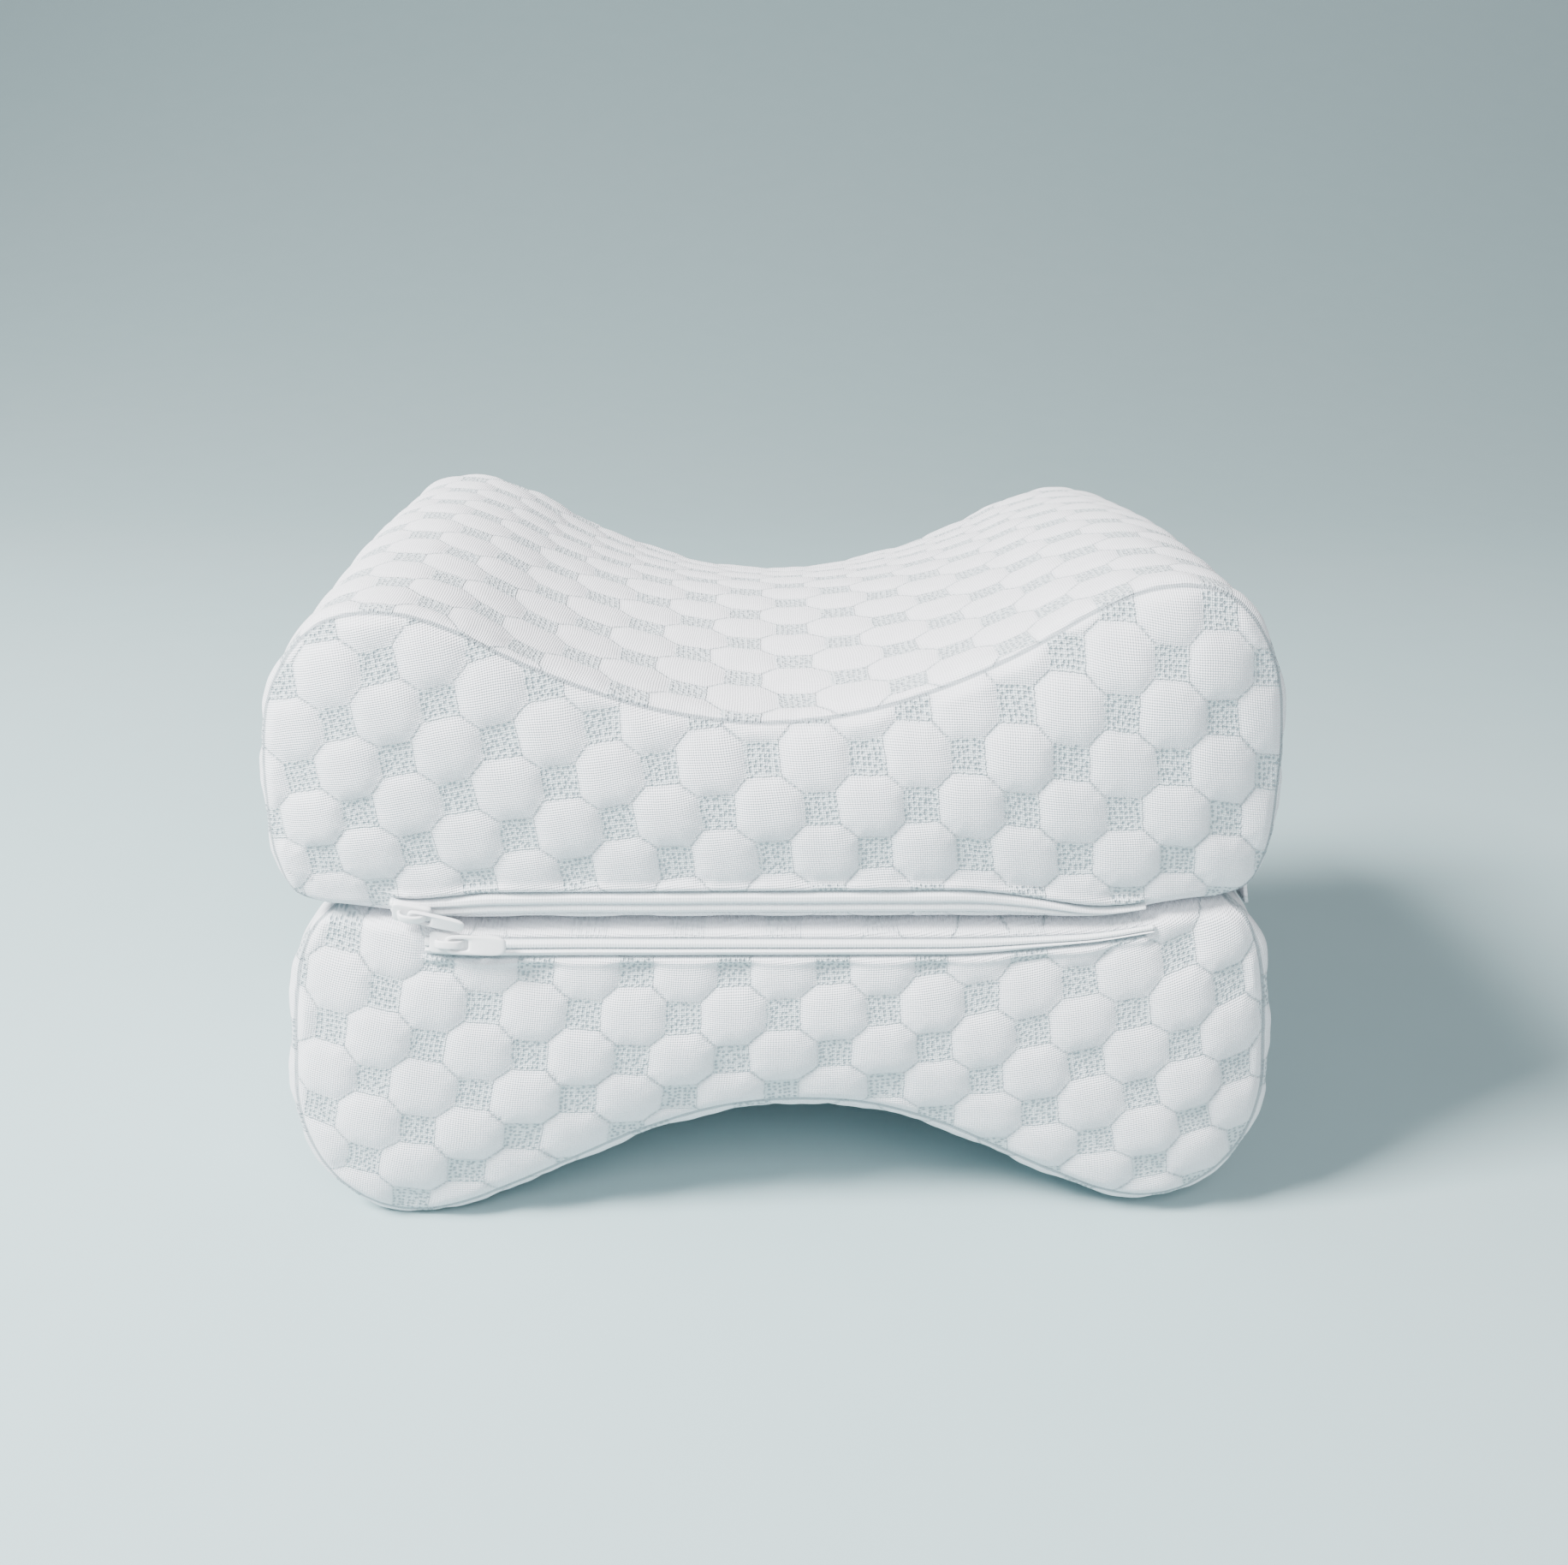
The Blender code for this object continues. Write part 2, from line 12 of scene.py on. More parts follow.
import bmesh
import bpy
import numpy as np
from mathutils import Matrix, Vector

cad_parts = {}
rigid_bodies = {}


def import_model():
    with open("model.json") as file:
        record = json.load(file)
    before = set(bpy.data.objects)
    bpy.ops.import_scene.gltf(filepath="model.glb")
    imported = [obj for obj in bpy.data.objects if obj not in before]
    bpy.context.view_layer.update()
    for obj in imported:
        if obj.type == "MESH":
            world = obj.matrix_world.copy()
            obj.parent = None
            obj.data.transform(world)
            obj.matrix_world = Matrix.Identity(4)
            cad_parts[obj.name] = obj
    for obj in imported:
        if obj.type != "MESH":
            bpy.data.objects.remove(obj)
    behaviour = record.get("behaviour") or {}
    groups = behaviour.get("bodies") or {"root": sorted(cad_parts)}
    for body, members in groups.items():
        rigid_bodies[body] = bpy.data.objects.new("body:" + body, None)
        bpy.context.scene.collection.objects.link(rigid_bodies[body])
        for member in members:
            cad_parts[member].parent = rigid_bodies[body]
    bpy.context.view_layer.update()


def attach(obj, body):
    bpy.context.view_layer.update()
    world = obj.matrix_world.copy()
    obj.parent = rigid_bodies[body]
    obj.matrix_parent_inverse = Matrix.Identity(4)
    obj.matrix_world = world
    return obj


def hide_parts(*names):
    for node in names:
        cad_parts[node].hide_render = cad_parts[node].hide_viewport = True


# Half outlines from the hollow's middle to the flat face: x, height above the flat face
UPPER_OUTLINE = [
    (0.0000, 0.0516), (0.0222, 0.0541), (0.0455, 0.0612), (0.0646, 0.0700), (0.0788, 0.0779),
    (0.0929, 0.0825), (0.1010, 0.0827), (0.1091, 0.0806), (0.1151, 0.0760), (0.1202, 0.0689),
    (0.1237, 0.0610), (0.1260, 0.0476), (0.1265, 0.0317), (0.1254, 0.0149), (0.1216, 0.0045),
    (0.1140, 0.0000),
]
LOWER_OUTLINE = [
    (0.0000, 0.0538), (0.0200, 0.0556), (0.0400, 0.0620), (0.0600, 0.0716), (0.0750, 0.0788),
    (0.0880, 0.0842), (0.0980, 0.0861), (0.1070, 0.0851), (0.1150, 0.0811), (0.1215, 0.0747),
    (0.1260, 0.0662), (0.1287, 0.0545), (0.1280, 0.0380), (0.1262, 0.0220), (0.1232, 0.0105),
    (0.1196, 0.0040), (0.1130, 0.0000),
]
HUMP_HEIGHT = 0.0834

# Body of a half
SEAM_DEPTH = 0.166
PANEL_BULGE = 0.0060
PANEL_ROLL = 0.028
FLAT_BULGE_SHARE = 0.35
FLAT_BULGE_HEIGHT = 0.035
HOLLOW_CROWN = 0.0110
HOLLOW_CROWN_WIDTH = 0.070
SIDE_CROWN_RUN = 0.16
SMOOTH_EDGE = 0.0140
MATING_HEIGHT = 0.0903
HALF_GAP = 0.0003
DEPTH_SHIFT = 0.0013

# Puffed knit
PUFF_RISE = 0.0015
BAND_PUFF_SHARE = 0.50
PUFF_SQUARENESS = 3.0
SQUARE_DROP = 0.0004
OCTAGON_REACH = 0.650
SEAM_FADE = 0.0030
BAND_COLUMN = (-0.42, 69.0, 487.0)
BAND_STRETCH = 0.100
BAND_ROW = (-0.84, 8.4, 94.4, -30.7, 47.3)
BAND_ROW_REACH = 0.115

# Sewn seam between the panels and the band
SEAM_ROLL = 0.0006
SEAM_ROLL_WIDTH = 0.0008
SEAM_ROLL_REACH = 0.0090
BAND_ROLL_RISE = 0.0016
BAND_ROLL_REACH = 0.030
# Width in millimetres of the painted shade line along the seams and the zip's edges
PAINTED_SEAM_SHADE_WIDTH = 0.60

# Cloth folded back along both sides of a zip, and the plainer strip below it
LIP_RISE = 0.0016
LIP_WIDTH = 0.0011
LIP_FADE = 0.0026
STRIP_LIP_SHARE = 0.70
STRIP_PUFF_SHARE = 0.35
STRIP_EASE = 0.0006
ZIP_END_EASE = 0.004
LINE_BEYOND_ZIP = 0.01

# Grids: even steps, with closer rows beside the seams and where a cover turns under
ARC_STEP = 0.00135
FOOT_ARCS = (0.0, 0.0010, 0.0021, 0.0033, 0.0045)
FOOT_ARC_END = 0.0058
DEPTH_STEP = 0.00135
SEAM_ROWS = (0.0, 0.0005, 0.0010, 0.0017, 0.0026, 0.0037)
SEAM_ROWS_END = 0.0049
PANEL_SPAN = 0.08
FOOT_HEIGHT = 0.0128
FOOT_STEP = 0.00058
PANEL_ROWS = 46
ZIP_STATIONS = 320
TAPE_STATIONS = 41

# A panel's columns are counted from the middle of the flat edge, for each metre of x, of
# height and of x times height, and its rows for each metre of x, of height and of x squared.
UPPER = {
    "outline": UPPER_OUTLINE, "up": 1.0, "base": MATING_HEIGHT + HALF_GAP, "shift": -0.0022,
    "hollow_shift": 0.0, "side_crown": (0.0008, 0.0028), "crown_power": 1.6, "roll": 0.0009,
    "twist": -0.43, "held_back": 0.012, "edge_inset": 0.0016, "edge_round": 0.0042, "edge_power": 2.0,
    "column": (0.80, 79.7, 9.9, -15.6), "row": (-0.42, -3.2, 78.8, 59.1),
    "zip": {"left": (-0.0970, 0.0014, 0.0054), "full": (-0.0700, 0.0026, 0.0083),
            "narrow": (0.0450, 0.0026, 0.0083), "right": (0.0950, 0.0013, 0.0022),
            "slider": (-0.0913, 0.0034)},
    "tape": ((0.00, 0.1), (0.07, 0.9), (0.22, 1.4), (0.34, 1.2), (0.43, 0.4), (0.52, 1.2),
             (0.66, 1.6), (0.84, 1.4), (0.94, 0.7), (1.00, 0.0)),
    "tab": {"length": 0.0144, "width": 0.0036, "droop": 9.0},
}
LOWER = {
    "outline": LOWER_OUTLINE, "up": -1.0, "base": MATING_HEIGHT, "shift": -0.0001,
    "hollow_shift": 0.0050, "side_crown": (0.0004, 0.0024), "crown_power": 2.6, "roll": 0.0022,
    "twist": 0.20, "held_back": 0.083, "edge_inset": 0.0180, "edge_round": 0.0054, "edge_power": 3.4,
    "column": (0.95, 80.4, 0.6, -133.6), "row": (-1.09, 3.2, 80.4, 79.5),
    "zip": {"left": (-0.0910, 0.0048, 0.0090), "full": (-0.0745, 0.0048, 0.0092),
            "narrow": (0.0420, 0.0052, 0.0094), "right": (0.0955, 0.0040, 0.0056),
            "slider": (-0.0846, 0.0052)},
    "tape": ((0.00, 0.1), (0.05, 1.1), (0.25, 1.5), (0.44, 1.4), (0.53, 0.5), (0.61, 1.2),
             (0.72, 1.5), (0.84, 1.1), (0.93, 0.3), (1.00, 0.0)),
    "tab": {"length": 0.0154, "width": 0.0050, "droop": 0.0},
}

# Zip, slider and pull tab
ZIP_CLEARANCE = 0.0006
ZIP_THICKNESS = 0.0014
SLIDER_CLEARANCE = 0.0002
SLIDER_SIZE = (0.0100, 0.0058, 0.0017)
TAB_START = -0.0008
TAB_THICKNESS = 0.0011
TAB_LIFT = 0.0005
TAB_EYE = (0.0004, 0.0051, 0.0030)
TAB_PIVOT = 0.0028
TAB_CORNER = 0.45
BODY_CORNER = 0.35
BODY_TAPER = 0.28
BRIDGE_REACH = 0.0033
BRIDGE_SHIFT = 0.0002
BRIDGE_RISE = 0.0026
BRIDGE_SIZE = (0.0020, 0.0009)

# How the flat faces curve up at both ends
RIGHT_RISE = 0.0042
RIGHT_RISE_START = 0.076
LEFT_RISE = 0.0028
LEFT_RISE_START = -0.078
END_RISE_RUN = 0.036
END_RISE_HEIGHT = 0.045

# Cloth hinge at the right end
HINGE_ARC = 0.0105
HINGE_WAVE = 0.0005
HINGE_WAVE_LENGTH = 0.0037
HINGE_INSET = 0.0120
HINGE_CLEARANCE = 0.0007
HINGE_THICKNESS = 0.0010

# Colours of the knit, the tape and the paper
KNIT_SHADE, KNIT_LIGHT = (0.83, 0.84, 0.88), (0.90, 0.90, 0.94)
# Painted shade on each octagon's rim, where it slopes into the creases
KNIT_RIM_PAINTED_SHADE = (0.80, 0.82, 0.86)
# Painted shade in the creases along the stitches between octagons
CREASE_PAINTED_SHADE = (0.46, 0.52, 0.55)
MESH_HOLE, MESH_YARN = (0.34, 0.41, 0.45), (0.68, 0.74, 0.77)
# Painted shade in the seam grooves and along the zip's edges
SEAM_PAINTED_SHADE = (0.30, 0.35, 0.38)
TAPE_SHADE, TAPE_LIGHT = (0.82, 0.84, 0.87), (0.89, 0.90, 0.92)
# Groove colour: the coil's stitches with painted shade, and painted shade along the tape's edges
TAPE_COIL_AND_GROOVE_SHADE, TAPE_EDGE_PAINTED_SHADE = (0.66, 0.70, 0.73), (0.50, 0.55, 0.58)
ENAMEL_DULL, ENAMEL_BRIGHT = (0.80, 0.81, 0.83), (0.90, 0.90, 0.91)
PAPER_SHADE, PAPER_LIGHT = (0.36, 0.49, 0.51), (0.38, 0.51, 0.53)

# Lights: place, size, power and colour
KEY_LIGHT = ((-1.05, -0.55, 1.25), 0.50, 118.0, (1.0, 0.99, 0.98))
FILL_LIGHT = ((0.4, -1.6, 1.5), 1.0, 26.0, (0.97, 0.98, 1.0))
LIT_POINT = (0.0, 0.0, 0.08)
WORLD_COLOUR = (0.94, 0.96, 1.0, 1.0)
WORLD_STRENGTH = 0.42

# Camera, from the photograph: 1950 px focal length in a frame 1832 px wide
FRAME_WIDTH = 1832.0
FOCAL_PIXELS = 1950.0
SENSOR_WIDTH = 36.0
CAMERA_PLACE = (-0.0076, -0.4738, 0.2693)
CAMERA_PITCH = 0.349
CAMERA_YAW = 0.020
CAMERA_ROLL = -0.006


def smooth_step(value):
    """Ease from 0 to 1: 3v squared less 2v cubed, with v held between 0 and 1."""
    value = np.clip(value, 0.0, 1.0)
    return value * value * (3.0 - 2.0 * value)


def outline_curve(half):
    """Cubic Hermite line through the outline's points, mirrored about the hollow's middle.

    Each stretch is the blend of its two ends and their slopes, and the hollow is moved
    sideways by a bell curve of x.
    """
    right = np.array(half["outline"])
    knots = np.vstack([right[::-1] * (-1.0, 1.0), right[1:]])
    knots[:, 0] += half["hollow_shift"] * np.exp(-(knots[:, 0] / HOLLOW_CROWN_WIDTH) ** 2)
    chord = np.concatenate([[0.0], np.cumsum(np.linalg.norm(np.diff(knots, axis=0), axis=1))])
    slope = np.gradient(knots, chord, axis=0)
    t = np.linspace(0.0, 1.0, 24, endpoint=False)[None, :, None]
    span = np.diff(chord)[:, None, None]
    points = (
        (2 * t ** 3 - 3 * t ** 2 + 1) * knots[:-1, None]
        + (t ** 3 - 2 * t ** 2 + t) * span * slope[:-1, None]
        + (3 * t ** 2 - 2 * t ** 3) * knots[1:, None]
        + (t ** 3 - t ** 2) * span * slope[1:, None]
    )
    return np.vstack([points.reshape(-1, 2), knots[-1:]])


def resample(curve, arcs):
    """Points and outward normals of the outline at arc lengths from its middle."""
    lengths = np.concatenate([[0.0], np.cumsum(np.linalg.norm(np.diff(curve, axis=0), axis=1))])
    lengths -= lengths[-1] / 2.0
    tangent = np.gradient(curve, lengths, axis=0)
    points = np.stack([np.interp(arcs, lengths, curve[:, k]) for k in (0, 1)], axis=1)
    along = np.stack([np.interp(arcs, lengths, tangent[:, k]) for k in (0, 1)], axis=1)
    along /= np.linalg.norm(along, axis=1, keepdims=True)
    return points, np.stack([-along[:, 1], along[:, 0]], axis=1)


def half_reach(curve):
    """Half the outline's arc length."""
    return np.linalg.norm(np.diff(curve, axis=0), axis=1).sum() / 2.0


def wander(x, y, size):
    """Slow uneven wave from -1 to 1: the mean of three sines that run in different directions."""
    first = np.sin((1.00 * x + 0.33 * y) / size + 0.7)
    second = np.sin((-0.47 * x + 1.07 * y) / size + 2.1)
    third = np.sin((0.71 * x - 0.93 * y) / size + 4.4)
    return (first + second + third) / 3.0


def puff(column, row):
    """Height of the knit above its backing.

    An octagon rises as one less its reach to a power, where reach is the larger of its
    straight-side and slanted-side distances. A square sinks as a shallow bowl.
    """
    across = np.abs(column - np.round(column))
    down = np.abs(row - np.round(row))
    square_near = np.mod(np.round(column) + np.round(row), 2) == 0
    wide = np.maximum(across, down)
    narrow = np.minimum(across, down)
    far = np.where(square_near, 1.0 - wide, wide)
    reach = np.maximum(np.maximum(far, narrow) / OCTAGON_REACH, far + narrow)
    dome = PUFF_RISE * (1.0 - np.clip(reach, 0.0, 1.0) ** PUFF_SQUARENESS)
    half_square = 1.0 - OCTAGON_REACH
    dip = -SQUARE_DROP * (1.0 - (wide / half_square) ** 4)
    height = np.where(square_near & (wide < half_square), dip, dome)
    return height * (1.0 + 0.16 * wander(column, row, 0.55))


def seam_roll(distance, along):
    """Cloth that swells beside its seam: it rises over the first millimetre and then fades.

    The seam itself stays in place, so the two sides leave a groove, and the swelling
    varies along the seam as the stitches gather it.
    """
    rise = 1.0 - np.exp(-distance / SEAM_ROLL_WIDTH)
    gather = 1.0 + 0.25 * np.sin(along / 0.0011) * np.exp(-distance / 0.004)
    return SEAM_ROLL * rise * np.exp(-distance / SEAM_ROLL_REACH) * gather


def seam_distance(points, seam):
    """Shortest distance from each point to the seam's line, over all its stretches at once."""
    start, run = seam[:-1], np.diff(seam, axis=0)
    offset = points[:, None] - start[None]
    share = np.clip((offset * run).sum(axis=2) / (run * run).sum(axis=1), 0.0, 1.0)
    away = offset - share[:, :, None] * run
    return np.sqrt((away * away).sum(axis=2)).min(axis=1)


def edge_inset(half, height):
    """How far the flat face's edge is drawn in: a power of what is left of its rounding."""
    left = 1.0 - np.clip(height / half["edge_round"], 0.0, 1.0)
    return half["edge_inset"] * left ** half["edge_power"]


def band_pattern(arcs, depths):
    """Columns and rows of the band: columns draw closer by a cube away from the hollow and then
    stay even, and rows lean with the arc, its square and its product with the depth."""
    start, along, cube = BAND_COLUMN
    held = np.clip(arcs, -BAND_STRETCH, BAND_STRETCH)
    beyond = 3.0 * cube * BAND_STRETCH ** 2 * (arcs - held)
    column = start + along * arcs + cube * held ** 3 + beyond + 0.0 * depths
    start, lean, across, bow, fan = BAND_ROW
    held = np.clip(arcs, -BAND_ROW_REACH, BAND_ROW_REACH)
    row = start + lean * held + across * depths + bow * held ** 2 + fan * held * depths
    return column, row


def panel_pattern(half, x, height):
    """Columns and rows of a panel: sums of its half's shares of x, height and their products."""
    c, r = half["column"], half["row"]
    column = c[0] + c[1] * x + c[2] * height + c[3] * x * height
    return column, r[0] + r[1] * x + r[2] * height + r[3] * x * x


def uneven(column, row):
    """The pattern as knitted: its lines wander a little, by a slow wave."""
    column_drift = 0.045 * wander(column, row, 0.9) + 0.030 * wander(row, column, 0.24)
    row_drift = 0.045 * wander(row, column + 3.0, 0.8) + 0.030 * wander(column, row + 5.0, 0.22)
    return column + column_drift, row + row_drift


def to_world(half, x, y, height):
    """Points of a half in the part's frame, twisted a little and pressed flat on the floor.

    The left hump's back keeps the twist it has at the half's "held_back" depth.

    Both ends of the flat faces curve up, by an ease along x for each end, which dies away as
    the square of what is left of its height.
    """
    y_twist = np.where(x < 0.0, np.minimum(y, half["held_back"]), y)
    height = height + half["twist"] * x * y_twist * height / HUMP_HEIGHT
    height = np.minimum(height, MATING_HEIGHT)
    near_face = np.clip(1.0 - height / END_RISE_HEIGHT, 0.0, 1.0) ** 2
    rise = RIGHT_RISE * smooth_step((x - RIGHT_RISE_START) / END_RISE_RUN)
    rise = rise + LEFT_RISE * smooth_step((LEFT_RISE_START - x) / END_RISE_RUN)
    level = half["base"] + half["up"] * height + rise * near_face
    return np.stack([x + half["shift"], y + DEPTH_SHIFT, level], axis=-1)


def zip_edges(half, x):
    """Heights of a zip's two edges at each x: level, easing narrower towards both ends."""
    run = half["zip"]
    marks = np.array([run["left"], run["full"], run["narrow"], run["right"]])
    index = np.clip(np.searchsorted(marks[:, 0], x, side="right") - 1, 0, len(marks) - 2)
    start, end = marks[index], marks[index + 1]
    share = smooth_step((x - start[..., 0]) / (end[..., 0] - start[..., 0]))
    edges = start[..., 1:] + (end - start)[..., 1:] * share[..., None]
    return edges[..., 0], edges[..., 1]


def zip_presence(half, x):
    """One where the zip runs, easing to zero just past its two ends."""
    run = half["zip"]
    left = smooth_step((x - run["left"][0]) / ZIP_END_EASE + 0.5)
    right = smooth_step((run["right"][0] - x) / ZIP_END_EASE + 0.5)
    return left * right


def marks(line, plain):
    """What the knit's material needs at each point: millimetres to a sewn line, along which it
    paints a dark line of shade, and how plain the cloth is."""
    return np.stack([line * 1000.0, plain + 0.0 * line], axis=-1)


def band_surface(half, curve, arcs, depths):
    """Band of the cover as a grid of arc length by depth, with its pattern coordinates.

    The outline is pushed along its normal by the crown, which is one less the distance
    from the middle to a power, by the puffs and by the swelling beside the seams.
    """
    outline, normal = resample(curve, arcs)
    x, height = outline[:, 0][:, None], outline[:, 1][:, None]
    across = 2.0 * depths / SEAM_DEPTH - 1.0
    arch = 1.0 - np.abs(across) ** half["crown_power"]
    hollow = HOLLOW_CROWN * np.exp(-(x / HOLLOW_CROWN_WIDTH) ** 2)
    left, right = half["side_crown"]
    side = left + (right - left) * smooth_step(x / SIDE_CROWN_RUN + 0.5)
    crown = (hollow + side) * arch[None, :]
    column, row = uneven(*band_pattern(arcs[:, None], depths[None, :]))
    near = np.minimum(depths, SEAM_DEPTH - depths)[None, :] + 0.0 * arcs[:, None]
    roll = half["roll"] * (1.0 - np.exp(-near / BAND_ROLL_RISE)) * np.exp(-near / BAND_ROLL_REACH)
    relief = BAND_PUFF_SHARE * puff(column, row) * smooth_step(near / SEAM_FADE)
    relief = relief + seam_roll(near, arcs[:, None])
    lift = (crown + relief + roll) * smooth_step(height / SMOOTH_EDGE)
    inset = 1.0 - edge_inset(half, height) / (SEAM_DEPTH / 2.0)
    y = (depths - SEAM_DEPTH / 2.0)[None, :] * inset
    points = to_world(half, x + normal[:, 0][:, None] * lift, y, height + normal[:, 1][:, None] * lift)
    return points, np.stack([column, row], axis=-1), marks(near, 0.0)


def panel_stand_out(half, flat, seam):
    """How far the smooth panel stands out of its seam's plane: a parabola within the rolled rim,
    lower towards the flat face and drawn in at its edge."""
    rim = 1.0 - np.clip(seam_distance(flat, seam) / PANEL_ROLL, 0.0, 1.0)
    foot = 1.0 - np.clip(flat[:, 1] / FLAT_BULGE_HEIGHT, 0.0, 1.0)
    share = FLAT_BULGE_SHARE + (1.0 - FLAT_BULGE_SHARE) * (1.0 - foot ** 2)
    return PANEL_BULGE * (1.0 - rim ** 2) * share - edge_inset(half, flat[:, 1])


def zip_folds(half, flat):
    """Relief of the cloth beside a zip, and where its puffs may rise.

    A fold is half a bell curve that ends at the zip's edge. Puffs ease in past the fold,
    and weakly on the strip between the zip and the flat face.
    """
    low, high = zip_edges(half, flat[:, 0])
    present = zip_presence(half, flat[:, 0])
    past_high = flat[:, 1] - high
    past_low = low - flat[:, 1]
    fold = np.exp(-((past_high - LIP_WIDTH) / LIP_WIDTH) ** 2) * (past_high > -0.0002)
    low_fold = np.exp(-((past_low - LIP_WIDTH) / LIP_WIDTH) ** 2) * (past_low > -0.0002)
    fold = fold + STRIP_LIP_SHARE * low_fold
    puffed = smooth_step((past_high - 0.0002) / LIP_FADE)
    puffed = puffed + STRIP_PUFF_SHARE * smooth_step(past_low / LIP_FADE)
    puffed = puffed * present + (1.0 - present) * smooth_step(flat[:, 1] / LIP_FADE)
    return LIP_RISE * fold * present, np.clip(puffed, 0.0, 1.0)


def panel_surface(half, seam, flat, side):
    """Front (-1) or back (+1) panel above a grid of its flat outline, with pattern coordinates."""
    shape = flat.shape[:2]
    flat = flat.reshape(-1, 2)
    near = seam_distance(flat, seam[::3])
    column, row = uneven(*panel_pattern(half, flat[:, 0], flat[:, 1]))
    out = panel_stand_out(half, flat, seam[::3])
    line = near.copy()
    relief = puff(column, row) * smooth_step(near / SEAM_FADE)
    if side < 0.0:
        fold, puffed = zip_folds(half, flat)
        relief = relief * puffed + fold * smooth_step(near / SEAM_FADE)
        low, high = zip_edges(half, flat[:, 0])
        beside = np.minimum(np.abs(flat[:, 1] - high), np.abs(flat[:, 1] - low))
        present = zip_presence(half, flat[:, 0])
        # The painted seam shade line also runs along both edges of the zip
        line = np.minimum(line, beside + LINE_BEYOND_ZIP * (1.0 - present))
        plain = smooth_step((low - flat[:, 1]) / STRIP_EASE) * present
    else:
        relief = relief * smooth_step(flat[:, 1] / LIP_FADE)
        plain = 0.0
    along = np.arctan2(flat[:, 1] - 0.04, flat[:, 0]) * 0.1
    out = out + relief + seam_roll(near, along) * smooth_step(flat[:, 1] / LIP_FADE)
    points = to_world(half, flat[:, 0], side * (SEAM_DEPTH / 2.0 + out), flat[:, 1])
    pattern = np.stack([column, row], axis=-1)
    return points.reshape(*shape, 3), pattern.reshape(*shape, 2), marks(line, plain).reshape(*shape, 2)


def flat_face(half, front, back):
    """Flat face as a grid: straight lines from the front panel's foot to the back panel's."""
    depths = depth_stations()
    share = (depths / SEAM_DEPTH)[None, :, None]
    points = front[:, None] * (1.0 - share) + back[:, None] * share
    column, row = band_pattern(points[:, :, 0], depths[None, :])
    return points, np.stack([column, row], axis=-1), marks(0.009 + 0.0 * row, 1.0)


def smooth_panel(half, seam, flat):
    """Front panel without its relief, for what lies on it."""
    shape = flat.shape[:-1]
    points = flat.reshape(-1, 2)
    out = panel_stand_out(half, points, seam[::3])
    world = to_world(half, points[:, 0], -(SEAM_DEPTH / 2.0 + out), points[:, 1])
    return world.reshape(*shape, 3)


def arc_stations(curve):
    """Even arc lengths across the band, with closer ones where it turns under."""
    reach = half_reach(curve)
    foot = np.array(FOOT_ARCS)
    count = int(2.0 * (reach - FOOT_ARC_END) / ARC_STEP)
    middle = np.linspace(-reach + FOOT_ARC_END, reach - FOOT_ARC_END, count)
    return np.concatenate([foot - reach, middle, reach - foot[::-1]])


def depth_stations():
    """Depths across the band, closer beside its two seams."""
    rim = np.array(SEAM_ROWS)
    count = int((SEAM_DEPTH - 2.0 * SEAM_ROWS_END) / DEPTH_STEP)
    middle = np.linspace(SEAM_ROWS_END, SEAM_DEPTH - SEAM_ROWS_END, count)
    return np.concatenate([rim, middle, SEAM_DEPTH - rim[::-1]])


def panel_grid(seam):
    """Flat outline of a panel as a grid: every column is a straight line from the seam to the
    flat edge. Rows are close beside the seam, and level and close along the zip."""
    foot = np.stack([np.linspace(seam[0, 0], seam[-1, 0], len(seam)), 0.0 * seam[:, 0]], axis=1)
    top = np.maximum(seam[:, 1], FOOT_HEIGHT)[:, None]
    even = np.linspace(0.0, 1.0, PANEL_ROWS)[None, 1:]
    rim = np.array(SEAM_ROWS)[None, :] / PANEL_SPAN
    drop = np.concatenate([rim, rim[:, -1:] + (1.0 - rim[:, -1:]) * even], axis=1)
    start = FOOT_HEIGHT / top
    upper = start + (1.0 - start) * (1.0 - drop)
    levels = np.linspace(FOOT_HEIGHT, 0.0, int(FOOT_HEIGHT / FOOT_STEP) + 1)[None, 1:]
    ratio = np.concatenate([upper, levels / top], axis=1)[:, :, None]
    return foot[:, None, :] + (seam - foot)[:, None, :] * ratio


def grid_faces(rows, columns, start=0):
    """Four-sided faces of a grid of points, as an array of vertex numbers."""
    index = np.arange(rows * columns).reshape(rows, columns) + start
    faces = np.stack([index[:-1, :-1], index[1:, :-1], index[1:, 1:], index[:-1, 1:]], axis=-1)
    return faces.reshape(-1, 4)


